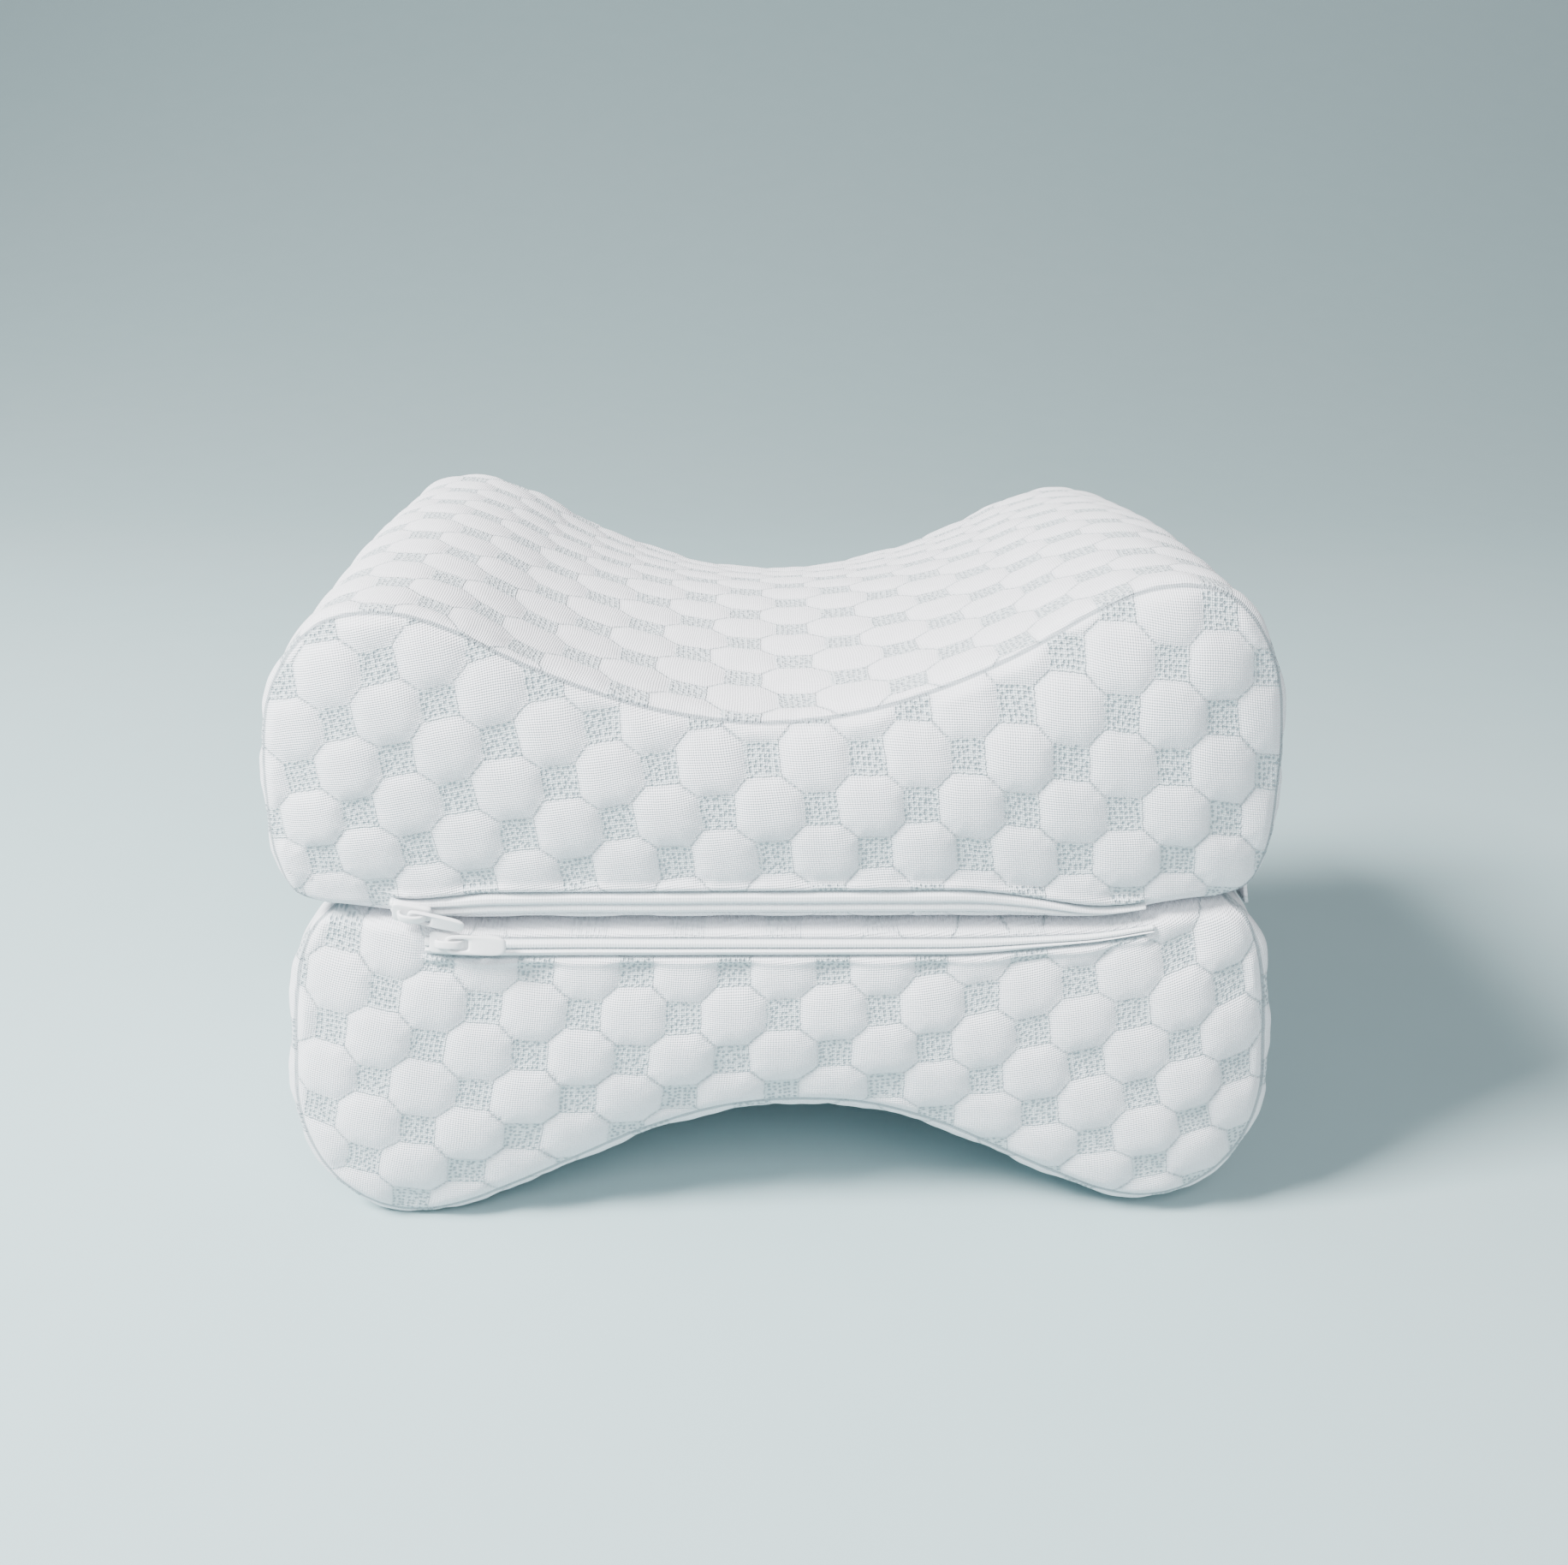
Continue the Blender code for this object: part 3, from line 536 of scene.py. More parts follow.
def mesh_of_grids(name, grids, kept_marks=None):
    """Mesh of several grids of points, each with its own map from faces to a pattern.

    Marks, one array for each grid, are kept as two attributes of the points.
    """
    points, faces, pattern, start = [], [], [], 0
    for places, coordinates in grids:
        points.append(places.reshape(-1, 3))
        pattern.append(coordinates.reshape(-1, 2))
        faces.append(grid_faces(*places.shape[:2], start))
        start += places.shape[0] * places.shape[1]
    points, faces, pattern = np.vstack(points), np.vstack(faces), np.vstack(pattern)
    mesh = bpy.data.meshes.new(name)
    mesh.vertices.add(len(points))
    mesh.vertices.foreach_set("co", points.astype(np.float32).ravel())
    mesh.loops.add(faces.size)
    mesh.loops.foreach_set("vertex_index", faces.astype(np.int32).ravel())
    mesh.polygons.add(len(faces))
    mesh.polygons.foreach_set("loop_start", np.arange(0, faces.size, 4, dtype=np.int32))
    mesh.update(calc_edges=True)
    layer = mesh.uv_layers.new(name="pattern")
    layer.data.foreach_set("uv", pattern[faces.ravel()].astype(np.float32).ravel())
    if kept_marks:
        values = np.vstack([mark.reshape(-1, 2) for mark in kept_marks]).astype(np.float32)
        for column, label in enumerate(("painted_seam_shade_mm", "plain_cloth")):
            kept = mesh.attributes.new(label, "FLOAT", "POINT")
            kept.data.foreach_set("value", np.ascontiguousarray(values[:, column]))
    return mesh


def finish_mesh(mesh, weld=2e-6):
    """Merge doubles, face everything outwards and shade smoothly."""
    shape = bmesh.new()
    shape.from_mesh(mesh)
    bmesh.ops.remove_doubles(shape, verts=shape.verts, dist=weld)
    bmesh.ops.recalc_face_normals(shape, faces=shape.faces)
    shape.to_mesh(mesh)
    shape.free()
    mesh.shade_smooth()


def add_piece(name, mesh, material, nodes):
    """Show a mesh in place of its CAD nodes."""
    piece = bpy.data.objects.new(name, mesh)
    bpy.context.scene.collection.objects.link(piece)
    mesh.materials.clear()
    mesh.materials.append(material)
    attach(piece, "root")
    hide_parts(*nodes)
    return piece


def make_half(label, half, material):
    """One half: band, two panels and the flat face between their feet."""
    curve = outline_curve(half)
    arcs = arc_stations(curve)
    seam, _ = resample(curve, arcs)
    seam[[0, -1], 1] = 0.0
    flat = panel_grid(seam)
    band = band_surface(half, curve, arcs, depth_stations())
    front = panel_surface(half, seam, flat, -1.0)
    back = panel_surface(half, seam, flat, 1.0)
    cloths = [band, front, back, flat_face(half, front[0][:, -1], back[0][:, -1])]
    grids = [cloth[:2] for cloth in cloths]
    mesh = mesh_of_grids(label + "_cover", grids, [cloth[2] for cloth in cloths])
    finish_mesh(mesh)
    piece = add_piece(label + "_cover", mesh, material, [label + "_half"])
    return seam


def zip_profile(half, across):
    """Height of the closed zip: two folded tapes with the coil's groove between them, as a line
    through the half's own section points, eased between them."""
    place, rise = np.array(half["tape"]).T
    right = np.clip(np.searchsorted(place, across, side="right"), 1, len(place) - 1)
    share = smooth_step((across - place[right - 1]) / (place[right] - place[right - 1]))
    height = rise[right - 1] + (rise[right] - rise[right - 1]) * share
    return ZIP_CLEARANCE + 0.001 * height


def make_zip(label, half, seam, material):
    """Zip tapes: the profile carried along the smooth panel between the zip's two edges."""
    run = half["zip"]
    x = np.linspace(run["left"][0], run["right"][0], ZIP_STATIONS)
    across = np.linspace(0.0, 1.0, TAPE_STATIONS)
    low, high = zip_edges(half, x)
    height = low[:, None] + (high - low)[:, None] * across[None, :]
    flat = np.stack([x[:, None] + 0.0 * height, height], axis=-1)
    base = smooth_panel(half, seam, flat)
    outward = surface_normal(base)
    wave = 1.0 + 0.10 * wander(x, 0.0 * x, 0.006)[:, None]
    top = base + outward * (zip_profile(half, across)[None, :] * wave)[:, :, None]
    under = base + outward * 0.0001
    pattern = np.stack([x[:, None] * 1000.0 + 0.0 * height, across[None, :] + 0.0 * height], axis=-1)
    places = np.concatenate([top, under[:, ::-1]], axis=1)
    coordinates = np.concatenate([pattern, pattern[:, ::-1]], axis=1)
    places = np.concatenate([places, places[:, :1]], axis=1)
    coordinates = np.concatenate([coordinates, coordinates[:, :1]], axis=1)
    places = np.concatenate([
        np.broadcast_to(places[:1].mean(axis=1, keepdims=True), places[:1].shape),
        places,
        np.broadcast_to(places[-1:].mean(axis=1, keepdims=True), places[:1].shape),
    ])
    coordinates = np.concatenate([coordinates[:1], coordinates, coordinates[-1:]])
    mesh = mesh_of_grids(label + "_zip_tape", [(places, coordinates)])
    finish_mesh(mesh)
    add_piece(label + "_zip_tape", mesh, material, [label + "_zip"])


def surface_normal(grid):
    """Unit normals of a grid of points, towards the front: the cross product of its two slopes."""
    down = np.gradient(grid, axis=1)
    along = np.gradient(grid, axis=0)
    normal = np.cross(along, down)
    normal /= np.linalg.norm(normal, axis=2, keepdims=True)
    return normal * np.where(normal[:, :, 1:2] > 0.0, -1.0, 1.0)


def panel_frame(half, seam, x, height):
    """Place on the smooth panel with its three directions: along the zip, up and outwards."""
    spots = np.array([[(x, height), (x + 0.001, height), (x, height + 0.001)]])
    centre, right, up = smooth_panel(half, seam, spots)[0]
    along = (right - centre) / np.linalg.norm(right - centre)
    rise = (up - centre) * half["up"]
    out = np.cross(along, rise)
    out /= np.linalg.norm(out)
    return centre, np.array([along, np.cross(out, along), out])


def rounded_box(size, corner, rows=24, columns=48):
    """Closed box with rounded edges: a sphere's directions raised to a power, so that it fills
    its corners, and scaled to the box."""
    turn = np.linspace(-math.pi, math.pi, columns + 1)[None, :]
    tilt = np.linspace(-math.pi / 2.0, math.pi / 2.0, rows + 1)[:, None]

    def eased(value):
        return np.sign(value) * np.abs(value) ** corner

    x = eased(np.cos(tilt)) * eased(np.cos(turn))
    y = eased(np.cos(tilt)) * eased(np.sin(turn))
    z = eased(np.sin(tilt)) + 0.0 * turn
    return np.stack([x * size[0] / 2.0, y * size[1] / 2.0, z * size[2] / 2.0], axis=-1)


def bar_along(path, across, width, thickness, corner=0.5, sides=16):
    """Bar with a rounded section carried along a path: each section stands square to it."""
    slope = np.gradient(path, axis=0)
    slope /= np.linalg.norm(slope, axis=1, keepdims=True)
    side = np.broadcast_to(np.array(across), path.shape)
    rise = np.cross(slope, side)
    turn = np.linspace(0.0, 2.0 * math.pi, sides + 1)
    wide = np.sign(np.cos(turn)) * np.abs(np.cos(turn)) ** corner * width / 2.0
    tall = np.sign(np.sin(turn)) * np.abs(np.sin(turn)) ** corner * thickness / 2.0
    ring = path[:, None] + side[:, None] * wide[None, :, None] + rise[:, None] * tall[None, :, None]
    start = np.broadcast_to(path[:1, None], ring[:1].shape)
    end = np.broadcast_to(path[-1:, None], ring[:1].shape)
    return np.concatenate([start, ring, end])


def placed(grid, centre, axes, lift):
    """Grid of points moved from the zip's own directions to its place."""
    return centre + (grid + np.array([0.0, 0.0, lift])) @ axes


def plain_map(grid):
    """Map coordinates in millimetres along and across a grid."""
    return np.stack([grid[:, :, 0], grid[:, :, 1]], axis=-1) * 1000.0


def make_slider(label, half, seam, material):
    """Slider: a tapered rounded body and the bridge that holds the pull tab."""
    run = half["zip"]
    centre, axes = panel_frame(half, seam, *run["slider"])
    length, width, thickness = SLIDER_SIZE
    lift = ZIP_CLEARANCE + ZIP_THICKNESS + SLIDER_CLEARANCE
    body = rounded_box((length, width, thickness), BODY_CORNER)
    taper = 1.0 - BODY_TAPER * smooth_step((body[:, :, 0:1] / length) + 0.5)
    body = body * np.concatenate([0.0 * taper + 1.0, taper, 0.0 * taper + 1.0], axis=2)
    body[:, :, 2] += thickness / 2.0
    turn = np.linspace(0.0, math.pi, 25)
    arch = np.stack([
        -BRIDGE_REACH * np.cos(turn) + BRIDGE_SHIFT,
        0.0 * turn,
        thickness * 0.7 + BRIDGE_RISE * np.sin(turn) ** 0.55,
    ], axis=1)
    bridge = bar_along(arch, (0.0, 1.0, 0.0), *BRIDGE_SIZE)
    grids = [(placed(part, centre, axes, lift), plain_map(part)) for part in (body, bridge)]
    mesh = mesh_of_grids(label + "_zip_slider", grids)
    finish_mesh(mesh)
    add_piece(label + "_zip_slider", mesh, material, [label + "_slider"])
    return centre, axes, lift + thickness


def stadium(length, width, start, count=96):
    """Closed line round a plate with rounded ends: the corners are quarter ellipses."""
    turn = np.linspace(0.0, 2.0 * math.pi, count + 1)
    x = np.sign(np.cos(turn)) * np.abs(np.cos(turn)) ** TAB_CORNER * length / 2.0
    x = x + start + length / 2.0
    y = np.sign(np.sin(turn)) * np.abs(np.sin(turn)) ** TAB_CORNER * width / 2.0
    return np.stack([x, y], axis=1)


def make_tab(label, half, frame, material):
    """Pull tab: a plate between an outer line and its eye's line, with a rounded rim.

    Each ring is a blend of the two lines, and its height follows the rim's rounding.
    """
    centre, axes, lift = frame
    tab = half["tab"]
    outer = stadium(tab["length"], tab["width"], TAB_START)
    eye = stadium(TAB_EYE[1] - TAB_EYE[0], TAB_EYE[2], TAB_EYE[0])
    share = np.array([0.0, 0.02, 0.06, 0.12, 0.5, 0.88, 0.95, 1.0])
    rise = np.array([0.0, 0.55, 0.85, 1.0, 1.0, 1.0, 0.75, 0.0]) * TAB_THICKNESS / 2.0
    plan = outer[None] + (eye - outer)[None] * share[:, None, None]
    top = np.concatenate([plan, np.broadcast_to(rise[:, None, None], plan[:, :, :1].shape)], axis=2)
    under = top[::-1] * (1.0, 1.0, -1.0)
    ring = np.concatenate([top, under])
    droop = -math.radians(tab["droop"])
    turn = np.array([[math.cos(droop), math.sin(droop), 0.0],
                     [-math.sin(droop), math.cos(droop), 0.0], [0.0, 0.0, 1.0]])
    pivot = np.array([TAB_PIVOT, 0.0, 0.0])
    hung = pivot + (ring - pivot) @ turn
    grid = placed(hung, centre, axes, lift + TAB_LIFT + TAB_THICKNESS / 2.0)
    mesh = mesh_of_grids(label + "_zip_pull", [(grid, plain_map(ring))])
    finish_mesh(mesh)
    add_piece(label + "_zip_pull", mesh, material, [label + "_pull_tab"])


def make_hinge(material):
    """Cloth joining the two right ends: straight lines between the feet of both bands, waved
    by a sine along the depth."""
    depths = np.linspace(HINGE_INSET, SEAM_DEPTH - HINGE_INSET, 110)
    edges = []
    for half in (UPPER, LOWER):
        curve = outline_curve(half)
        arc = np.array([half_reach(curve) - HINGE_ARC])
        points = band_surface(half, curve, arc, depths)[0]
        edges.append(points[0] + (HINGE_CLEARANCE, 0.0, 0.0))
    share = np.linspace(0.0, 1.0, 13)[None, :, None]
    grid = edges[0][:, None] * (1.0 - share) + edges[1][:, None] * share
    wave = HINGE_WAVE * np.sin(depths / HINGE_WAVE_LENGTH)[:, None]
    grid[:, :, 0] += wave * np.sin(math.pi * share[:, :, 0])
    column, row = band_pattern(share[:, :, 0] * 0.012 + 0.11, depths[:, None])
    kept = [marks(0.004 + 0.0 * row, 0.0)]
    mesh = mesh_of_grids("right_end_cloth", [(grid, np.stack([column, row], axis=-1))], kept)
    finish_mesh(mesh)
    if np.mean([face.normal.x for face in mesh.polygons]) < 0.0:
        mesh.flip_normals()
    piece = add_piece("right_end_cloth", mesh, material, ["end_hinge"])
    wall = piece.modifiers.new("cloth", "SOLIDIFY")
    wall.thickness = HINGE_THICKNESS
    wall.offset = 1.0


def math_node(tree, operation, first, second=None, third=None):
    """Output of a Math node whose inputs are sockets or numbers."""
    node = tree.nodes.new("ShaderNodeMath")
    node.operation = operation
    for socket, value in zip(node.inputs, (first, second, third)):
        if isinstance(value, bpy.types.NodeSocket):
            tree.links.new(value, socket)
        elif value is not None:
            socket.default_value = value
    return node.outputs[0]


def ramp(tree, value, low, high, start=0.0, end=1.0):
    """Value eased from start to end as the input goes from low to high."""
    node = tree.nodes.new("ShaderNodeMapRange")
    node.interpolation_type = "SMOOTHSTEP"
    tree.links.new(value, node.inputs["Value"])
    for label, number in (("From Min", low), ("From Max", high), ("To Min", start), ("To Max", end)):
        node.inputs[label].default_value = number
    return node.outputs["Result"]


def mix_colour(tree, factor, first, second):
    """Blend of two colours, each a socket or three numbers."""
    node = tree.nodes.new("ShaderNodeMix")
    node.data_type = "RGBA"
    tree.links.new(factor, node.inputs["Factor"])
    sockets = [socket for socket in node.inputs if socket.type == "RGBA"]
    for socket, colour in zip(sockets, (first, second)):
        if isinstance(colour, bpy.types.NodeSocket):
            tree.links.new(colour, socket)
        else:
            socket.default_value = (*colour, 1.0)
    return next(socket for socket in node.outputs if socket.type == "RGBA")


def noise(tree, vector, scale, detail=2.0):
    """Noise from 0 to 1 on the given coordinates."""
    node = tree.nodes.new("ShaderNodeTexNoise")
    tree.links.new(vector, node.inputs["Vector"])
    node.inputs["Scale"].default_value = scale
    node.inputs["Detail"].default_value = detail
    return node.outputs["Fac"]


def new_group(name, inputs, outputs):
    """Empty shader node group with named sockets, and its input and output nodes."""
    group = bpy.data.node_groups.new(name, "ShaderNodeTree")
    for label, kind in inputs:
        group.interface.new_socket(label, in_out="INPUT", socket_type=kind)
    for label, kind in outputs:
        group.interface.new_socket(label, in_out="OUTPUT", socket_type=kind)
    return group, group.nodes.new("NodeGroupInput"), group.nodes.new("NodeGroupOutput")


def make_yarn_group():
    """Fine uneven rows of yarn, for cloth and tape: a height and a mottling."""
    group, given, result = new_group(
        "yarn_rows",
        [("Place", "NodeSocketVector"), ("Rows", "NodeSocketFloat"), ("Mottle", "NodeSocketFloat")],
        [("Height", "NodeSocketFloat"), ("Shade", "NodeSocketFloat")],
    )
    split = group.nodes.new("ShaderNodeSeparateXYZ")
    group.links.new(given.outputs["Place"], split.inputs[0])
    wobble = noise(group, given.outputs["Place"], 9.0)
    down = math_node(group, "MULTIPLY", split.outputs["Y"], given.outputs["Rows"])
    across = math_node(group, "MULTIPLY", split.outputs["X"], given.outputs["Rows"])
    course = math_node(group, "SINE", math_node(group, "MULTIPLY_ADD", wobble, 2.0, down))
    loop = math_node(group, "SINE", math_node(group, "MULTIPLY_ADD", wobble, 3.0, across))
    rows = math_node(group, "MULTIPLY_ADD", course, 0.22, 0.5)
    height = math_node(group, "MULTIPLY_ADD", loop, 0.16, rows)
    group.links.new(height, result.inputs["Height"])
    patch = noise(group, given.outputs["Place"], 2.3, 3.0)
    group.links.new(math_node(group, "MULTIPLY", patch, given.outputs["Mottle"]), result.inputs["Shade"])
    return group


def make_pattern_group():
    """Octagons and mesh squares: masks for the mesh, the stitches with their painted crease shade,
    painted shade on the octagons' rims, and the mesh's speckle.
    """
    group, given, result = new_group(
        "octagon_knit",
        [("Place", "NodeSocketVector")],
        [("Mesh", "NodeSocketFloat"), ("Stitch_Crease_Shade", "NodeSocketFloat"),
         ("Speckle", "NodeSocketFloat"), ("Rim_Painted_Shade", "NodeSocketFloat")],
    )
    split = group.nodes.new("ShaderNodeSeparateXYZ")
    group.links.new(given.outputs["Place"], split.inputs[0])
    column, row = split.outputs["X"], split.outputs["Y"]
    whole_column = math_node(group, "ROUND", column)
    whole_row = math_node(group, "ROUND", row)
    across = math_node(group, "ABSOLUTE", math_node(group, "SUBTRACT", column, whole_column))
    down = math_node(group, "ABSOLUTE", math_node(group, "SUBTRACT", row, whole_row))
    odd = math_node(group, "FLOORED_MODULO", math_node(group, "ADD", whole_column, whole_row), 2.0)
    even = math_node(group, "SUBTRACT", 1.0, odd)
    wide = math_node(group, "MAXIMUM", across, down)
    narrow = math_node(group, "MINIMUM", across, down)
    fringe = math_node(group, "MULTIPLY_ADD", noise(group, given.outputs["Place"], 16.0), 0.08, wide)
    half_square = 1.0 - OCTAGON_REACH
    inside = ramp(group, fringe, half_square + 0.055, half_square + 0.020)
    mesh = math_node(group, "MULTIPLY", inside, even)
    far = math_node(group, "ADD", math_node(group, "MULTIPLY", odd, wide),
                    math_node(group, "MULTIPLY", even, math_node(group, "SUBTRACT", 1.0, wide)))
    slant = math_node(group, "ADD", far, narrow)
    line = ramp(group, slant, 0.940, 0.995)
    broken = ramp(group, noise(group, given.outputs["Place"], 21.0), 0.35, 0.60, 0.10, 1.0)
    clear = math_node(group, "SUBTRACT", 1.0, mesh)
    # The stitch mask also sets where the material paints crease shade
    stitch = math_node(group, "MULTIPLY", math_node(group, "MULTIPLY", line, broken), clear)
    straight = math_node(group, "DIVIDE", far, OCTAGON_REACH)
    # Rim of each octagon: the mask for its painted shade
    edge = ramp(group, math_node(group, "MAXIMUM", straight, slant), 0.86, 1.0)
    cell = group.nodes.new("ShaderNodeTexVoronoi")
    cell.voronoi_dimensions = "2D"
    cell.inputs["Scale"].default_value = 9.6
    cell.inputs["Randomness"].default_value = 0.55
    group.links.new(given.outputs["Place"], cell.inputs["Vector"])
    grit = math_node(group, "MULTIPLY_ADD", noise(group, given.outputs["Place"], 26.0), 0.40,
                     cell.outputs["Distance"])
    speckle = ramp(group, grit, 0.34, 0.62)
    for label, socket in (("Mesh", mesh), ("Stitch_Crease_Shade", stitch), ("Speckle", speckle),
                          ("Rim_Painted_Shade", math_node(group, "MULTIPLY", edge, clear))):
        group.links.new(socket, result.inputs[label])
    return group


def new_material(name, **settings):
    """Material whose Principled shader has the given plain settings."""
    material = bpy.data.materials.new(name)
    material.use_nodes = True
    shader = material.node_tree.nodes["Principled BSDF"]
    for label, value in settings.items():
        shader.inputs[label.replace("_", " ")].default_value = value
    return material, material.node_tree, shader


def use_group(tree, group, **values):
    """Node group placed in a material, with its inputs linked or set."""
    node = tree.nodes.new("ShaderNodeGroup")
    node.node_tree = group
    for label, value in values.items():
        if isinstance(value, bpy.types.NodeSocket):
            tree.links.new(value, node.inputs[label])
        else:
            node.inputs[label].default_value = value
    return node


def add_bump(tree, shader, height, strength, distance):
    """Bump from a height."""
    bump = tree.nodes.new("ShaderNodeBump")
    bump.inputs["Strength"].default_value = strength
    bump.inputs["Distance"].default_value = distance
    tree.links.new(height, bump.inputs["Height"])
    tree.links.new(bump.outputs["Normal"], shader.inputs["Normal"])


def surface_map(tree):
    """The piece's own pattern coordinates."""
    node = tree.nodes.new("ShaderNodeUVMap")
    node.uv_map = "pattern"
    return node.outputs["UV"]


def make_knit(yarn, pattern):
    """White puffed knit with grey speckled mesh squares, a thin stitch between octagons darkened
    by painted crease shade, painted shade on the octagons' rims and along the seams.
    """
    material, tree, shader = new_material("puffed_knit_cloth", Roughness=0.92)
    shader.inputs["Specular IOR Level"].default_value = 0.25
    shader.inputs["Sheen Weight"].default_value = 0.15
    place = surface_map(tree)
    knit = use_group(tree, pattern, Place=place)
    rows = use_group(tree, yarn, Place=place, Rows=132.0, Mottle=1.0)
    cloth = mix_colour(tree, rows.outputs["Shade"], KNIT_SHADE, KNIT_LIGHT)
    # Painted shade on the octagons' rims
    cloth = mix_colour(tree, knit.outputs["Rim_Painted_Shade"], cloth, KNIT_RIM_PAINTED_SHADE)
    # Painted shade in the creases along the stitches
    cloth = mix_colour(tree, knit.outputs["Stitch_Crease_Shade"], cloth, CREASE_PAINTED_SHADE)
    grey = mix_colour(tree, knit.outputs["Speckle"], MESH_HOLE, MESH_YARN)
    plain = tree.nodes.new("ShaderNodeAttribute")
    plain.attribute_name = "plain_cloth"
    patterned = math_node(tree, "MULTIPLY_ADD", plain.outputs["Fac"], -0.7, 1.0)
    shown = math_node(tree, "MULTIPLY", knit.outputs["Mesh"], patterned)
    colour = mix_colour(tree, shown, cloth, grey)
    sewn = tree.nodes.new("ShaderNodeAttribute")
    sewn.attribute_name = "painted_seam_shade_mm"
    # Painted shade: a dark line along the seams and the zip's edges, where the grooves lie
    seam = ramp(tree, sewn.outputs["Fac"], PAINTED_SEAM_SHADE_WIDTH * 0.4, PAINTED_SEAM_SHADE_WIDTH, 0.85, 0.0)
    colour = mix_colour(tree, seam, colour, SEAM_PAINTED_SHADE)
    tree.links.new(colour, shader.inputs["Base Color"])
    rough = math_node(tree, "MULTIPLY_ADD", rows.outputs["Shade"], 0.08, 0.86)
    tree.links.new(rough, shader.inputs["Roughness"])
    speckled = math_node(tree, "MULTIPLY", knit.outputs["Speckle"], shown)
    sunken = math_node(tree, "MULTIPLY_ADD", knit.outputs["Stitch_Crease_Shade"], -0.8, speckled)
    height = math_node(tree, "MULTIPLY_ADD", rows.outputs["Height"], 0.80, sunken)
    add_bump(tree, shader, height, 0.75, 0.0006)
    return material


def make_tape(yarn):
    """White zip tape: woven ribs, with the coil's stitches showing in the groove, painted shade
    darkening the groove and painted shade along both edges.
    """
    material, tree, shader = new_material("woven_zip_tape", Roughness=0.8)
    place = surface_map(tree)
    rows = use_group(tree, yarn, Place=place, Rows=9.0, Mottle=1.0)
    split = tree.nodes.new("ShaderNodeSeparateXYZ")
    tree.links.new(place, split.inputs[0])
    off_middle = math_node(tree, "ABSOLUTE", math_node(tree, "SUBTRACT", split.outputs["Y"], 0.5))
    groove = ramp(tree, off_middle, 0.035, 0.090, 1.0, 0.0)
    # Both edges of the tape: the mask for painted shade where the tape meets the cloth
    edge = ramp(tree, off_middle, 0.44, 0.48)
    coil = math_node(tree, "SINE", math_node(tree, "MULTIPLY", split.outputs["X"], 6.0))
    # Groove colour: the coil's stitches, with painted shade darkening the groove
    dotted = math_node(tree, "MULTIPLY", groove, ramp(tree, coil, -0.9, 0.9, 0.7, 1.0))
    tape = mix_colour(tree, rows.outputs["Shade"], TAPE_SHADE, TAPE_LIGHT)
    tape = mix_colour(tree, dotted, tape, TAPE_COIL_AND_GROOVE_SHADE)
    # Painted shade along both edges of the tape
    colour = mix_colour(tree, math_node(tree, "MULTIPLY", edge, 0.8), tape, TAPE_EDGE_PAINTED_SHADE)
    tree.links.new(colour, shader.inputs["Base Color"])
    height = math_node(tree, "MULTIPLY_ADD", dotted, -0.8, rows.outputs["Height"])
    add_bump(tree, shader, height, 0.6, 0.0003)
    return material


def make_enamel():
    """White enamel on zinc: faint unevenness, and duller where fingers rub it."""
    material, tree, shader = new_material("white_enamel", Roughness=0.35)
    shader.inputs["Coat Weight"].default_value = 0.2
    place = surface_map(tree)
    rub = noise(tree, place, 0.8, 3.0)
    colour = mix_colour(tree, rub, ENAMEL_DULL, ENAMEL_BRIGHT)
    tree.links.new(colour, shader.inputs["Base Color"])
    tree.links.new(ramp(tree, rub, 0.3, 0.7, 0.28, 0.45), shader.inputs["Roughness"])
    add_bump(tree, shader, noise(tree, place, 3.0), 0.15, 0.0002)
    return material


def make_floor():
    """Pale paper sweep: level under the pillow, then a quarter circle up to a plain wall."""
    level = np.linspace(-2.5, 0.9, 40)
    turn = np.linspace(0.0, math.pi / 2.0, 60)[1:]
    rise = np.linspace(0.0, 2.5, 12)[1:]
    radius = 2.4
    y = np.concatenate([level, 0.9 + radius * np.sin(turn), 0.0 * rise + 0.9 + radius])
    z = np.concatenate([0.0 * level, radius - radius * np.cos(turn), radius + rise])
    x = np.linspace(-4.0, 4.0, 12)
    grid = np.stack([
        x[:, None] + 0.0 * y[None, :],
        y[None, :] + 0.0 * x[:, None],
        z[None, :] + 0.0 * x[:, None],
    ], axis=-1)
    mesh = mesh_of_grids("paper_sweep", [(grid, grid[:, :, :2])])
    mesh.shade_smooth()
    floor = bpy.data.objects.new("paper_sweep", mesh)
    bpy.context.scene.collection.objects.link(floor)
    material, tree, shader = new_material("pale_paper", Roughness=0.9)
    coordinates = tree.nodes.new("ShaderNodeTexCoord").outputs["Object"]
    colour = mix_colour(tree, noise(tree, coordinates, 30.0, 4.0), PAPER_SHADE, PAPER_LIGHT)
    tree.links.new(colour, shader.inputs["Base Color"])
    mesh.materials.append(material)


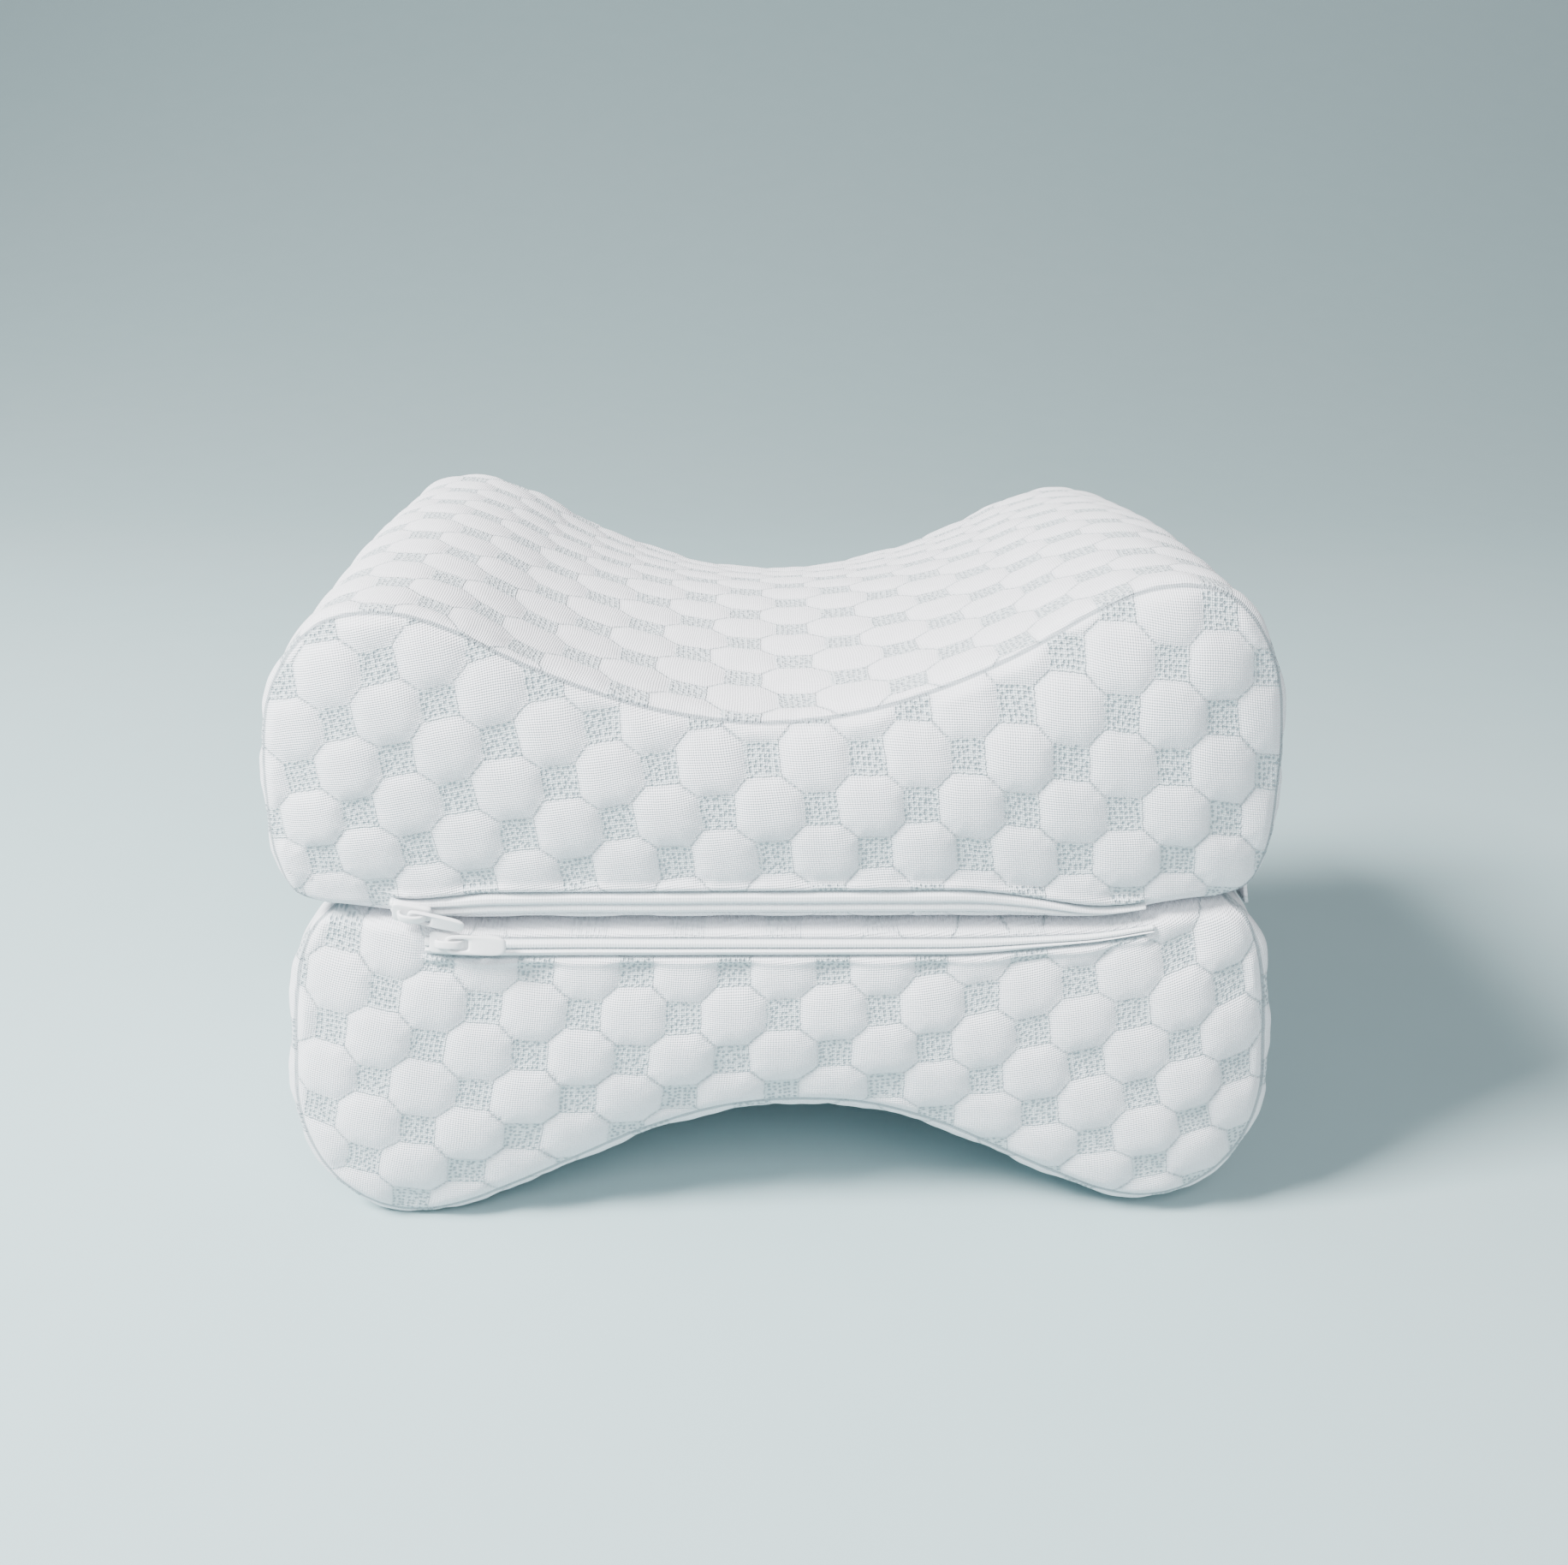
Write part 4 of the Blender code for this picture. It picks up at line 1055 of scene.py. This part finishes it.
def add_area(name, place, size, power, colour):
    """Soft area light that looks at the pillow."""
    light = bpy.data.lights.new(name, "AREA")
    light.shape = "SQUARE"
    light.size = size
    light.energy = power
    light.color = colour
    lamp = bpy.data.objects.new(name, light)
    bpy.context.scene.collection.objects.link(lamp)
    lamp.location = place
    view = np.array(LIT_POINT) - np.array(place)
    lamp.rotation_euler = Vector(view).to_track_quat("-Z", "Y").to_euler()


def add_light():
    """Key from the upper left, a broad fill high in front, and weak light from all round."""
    add_area("key", *KEY_LIGHT)
    add_area("fill", *FILL_LIGHT)
    world = bpy.data.worlds.new("studio")
    world.use_nodes = True
    background = world.node_tree.nodes["Background"]
    background.inputs["Color"].default_value = WORLD_COLOUR
    background.inputs["Strength"].default_value = WORLD_STRENGTH
    bpy.context.scene.world = world


def add_camera():
    """Camera at the photograph's place, turned by its pitch, yaw and roll."""
    camera = bpy.data.cameras.new("camera")
    camera.sensor_width = SENSOR_WIDTH
    camera.lens = FOCAL_PIXELS / FRAME_WIDTH * SENSOR_WIDTH
    camera.clip_start = 0.01
    camera.clip_end = 20.0
    eye = bpy.data.objects.new("camera", camera)
    bpy.context.scene.collection.objects.link(eye)
    level, tilt = math.cos(CAMERA_PITCH), math.sin(CAMERA_PITCH)
    forward = np.array([math.sin(CAMERA_YAW) * level, math.cos(CAMERA_YAW) * level, -tilt])
    right = np.array([math.cos(CAMERA_YAW), -math.sin(CAMERA_YAW), 0.0])
    down = np.cross(forward, right)
    turned_right = math.cos(CAMERA_ROLL) * right + math.sin(CAMERA_ROLL) * down
    turned_down = -math.sin(CAMERA_ROLL) * right + math.cos(CAMERA_ROLL) * down
    turn = np.eye(4)
    turn[:3, :3] = np.stack([turned_right, -turned_down, -forward], axis=1)
    turn[:3, 3] = CAMERA_PLACE
    eye.matrix_world = Matrix(turn.tolist())
    bpy.context.scene.camera = eye


def main():
    """Clear the scene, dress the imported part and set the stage."""
    for thing in list(bpy.data.objects):
        bpy.data.objects.remove(thing)
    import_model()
    yarn = make_yarn_group()
    knit = make_knit(yarn, make_pattern_group())
    tape = make_tape(yarn)
    enamel = make_enamel()
    for label, half in (("upper", UPPER), ("lower", LOWER)):
        seam = make_half(label, half, knit)
        make_zip(label, half, seam, tape)
        frame = make_slider(label, half, seam, enamel)
        make_tab(label, half, frame, enamel)
    make_hinge(knit)
    make_floor()
    add_light()
    add_camera()


main()
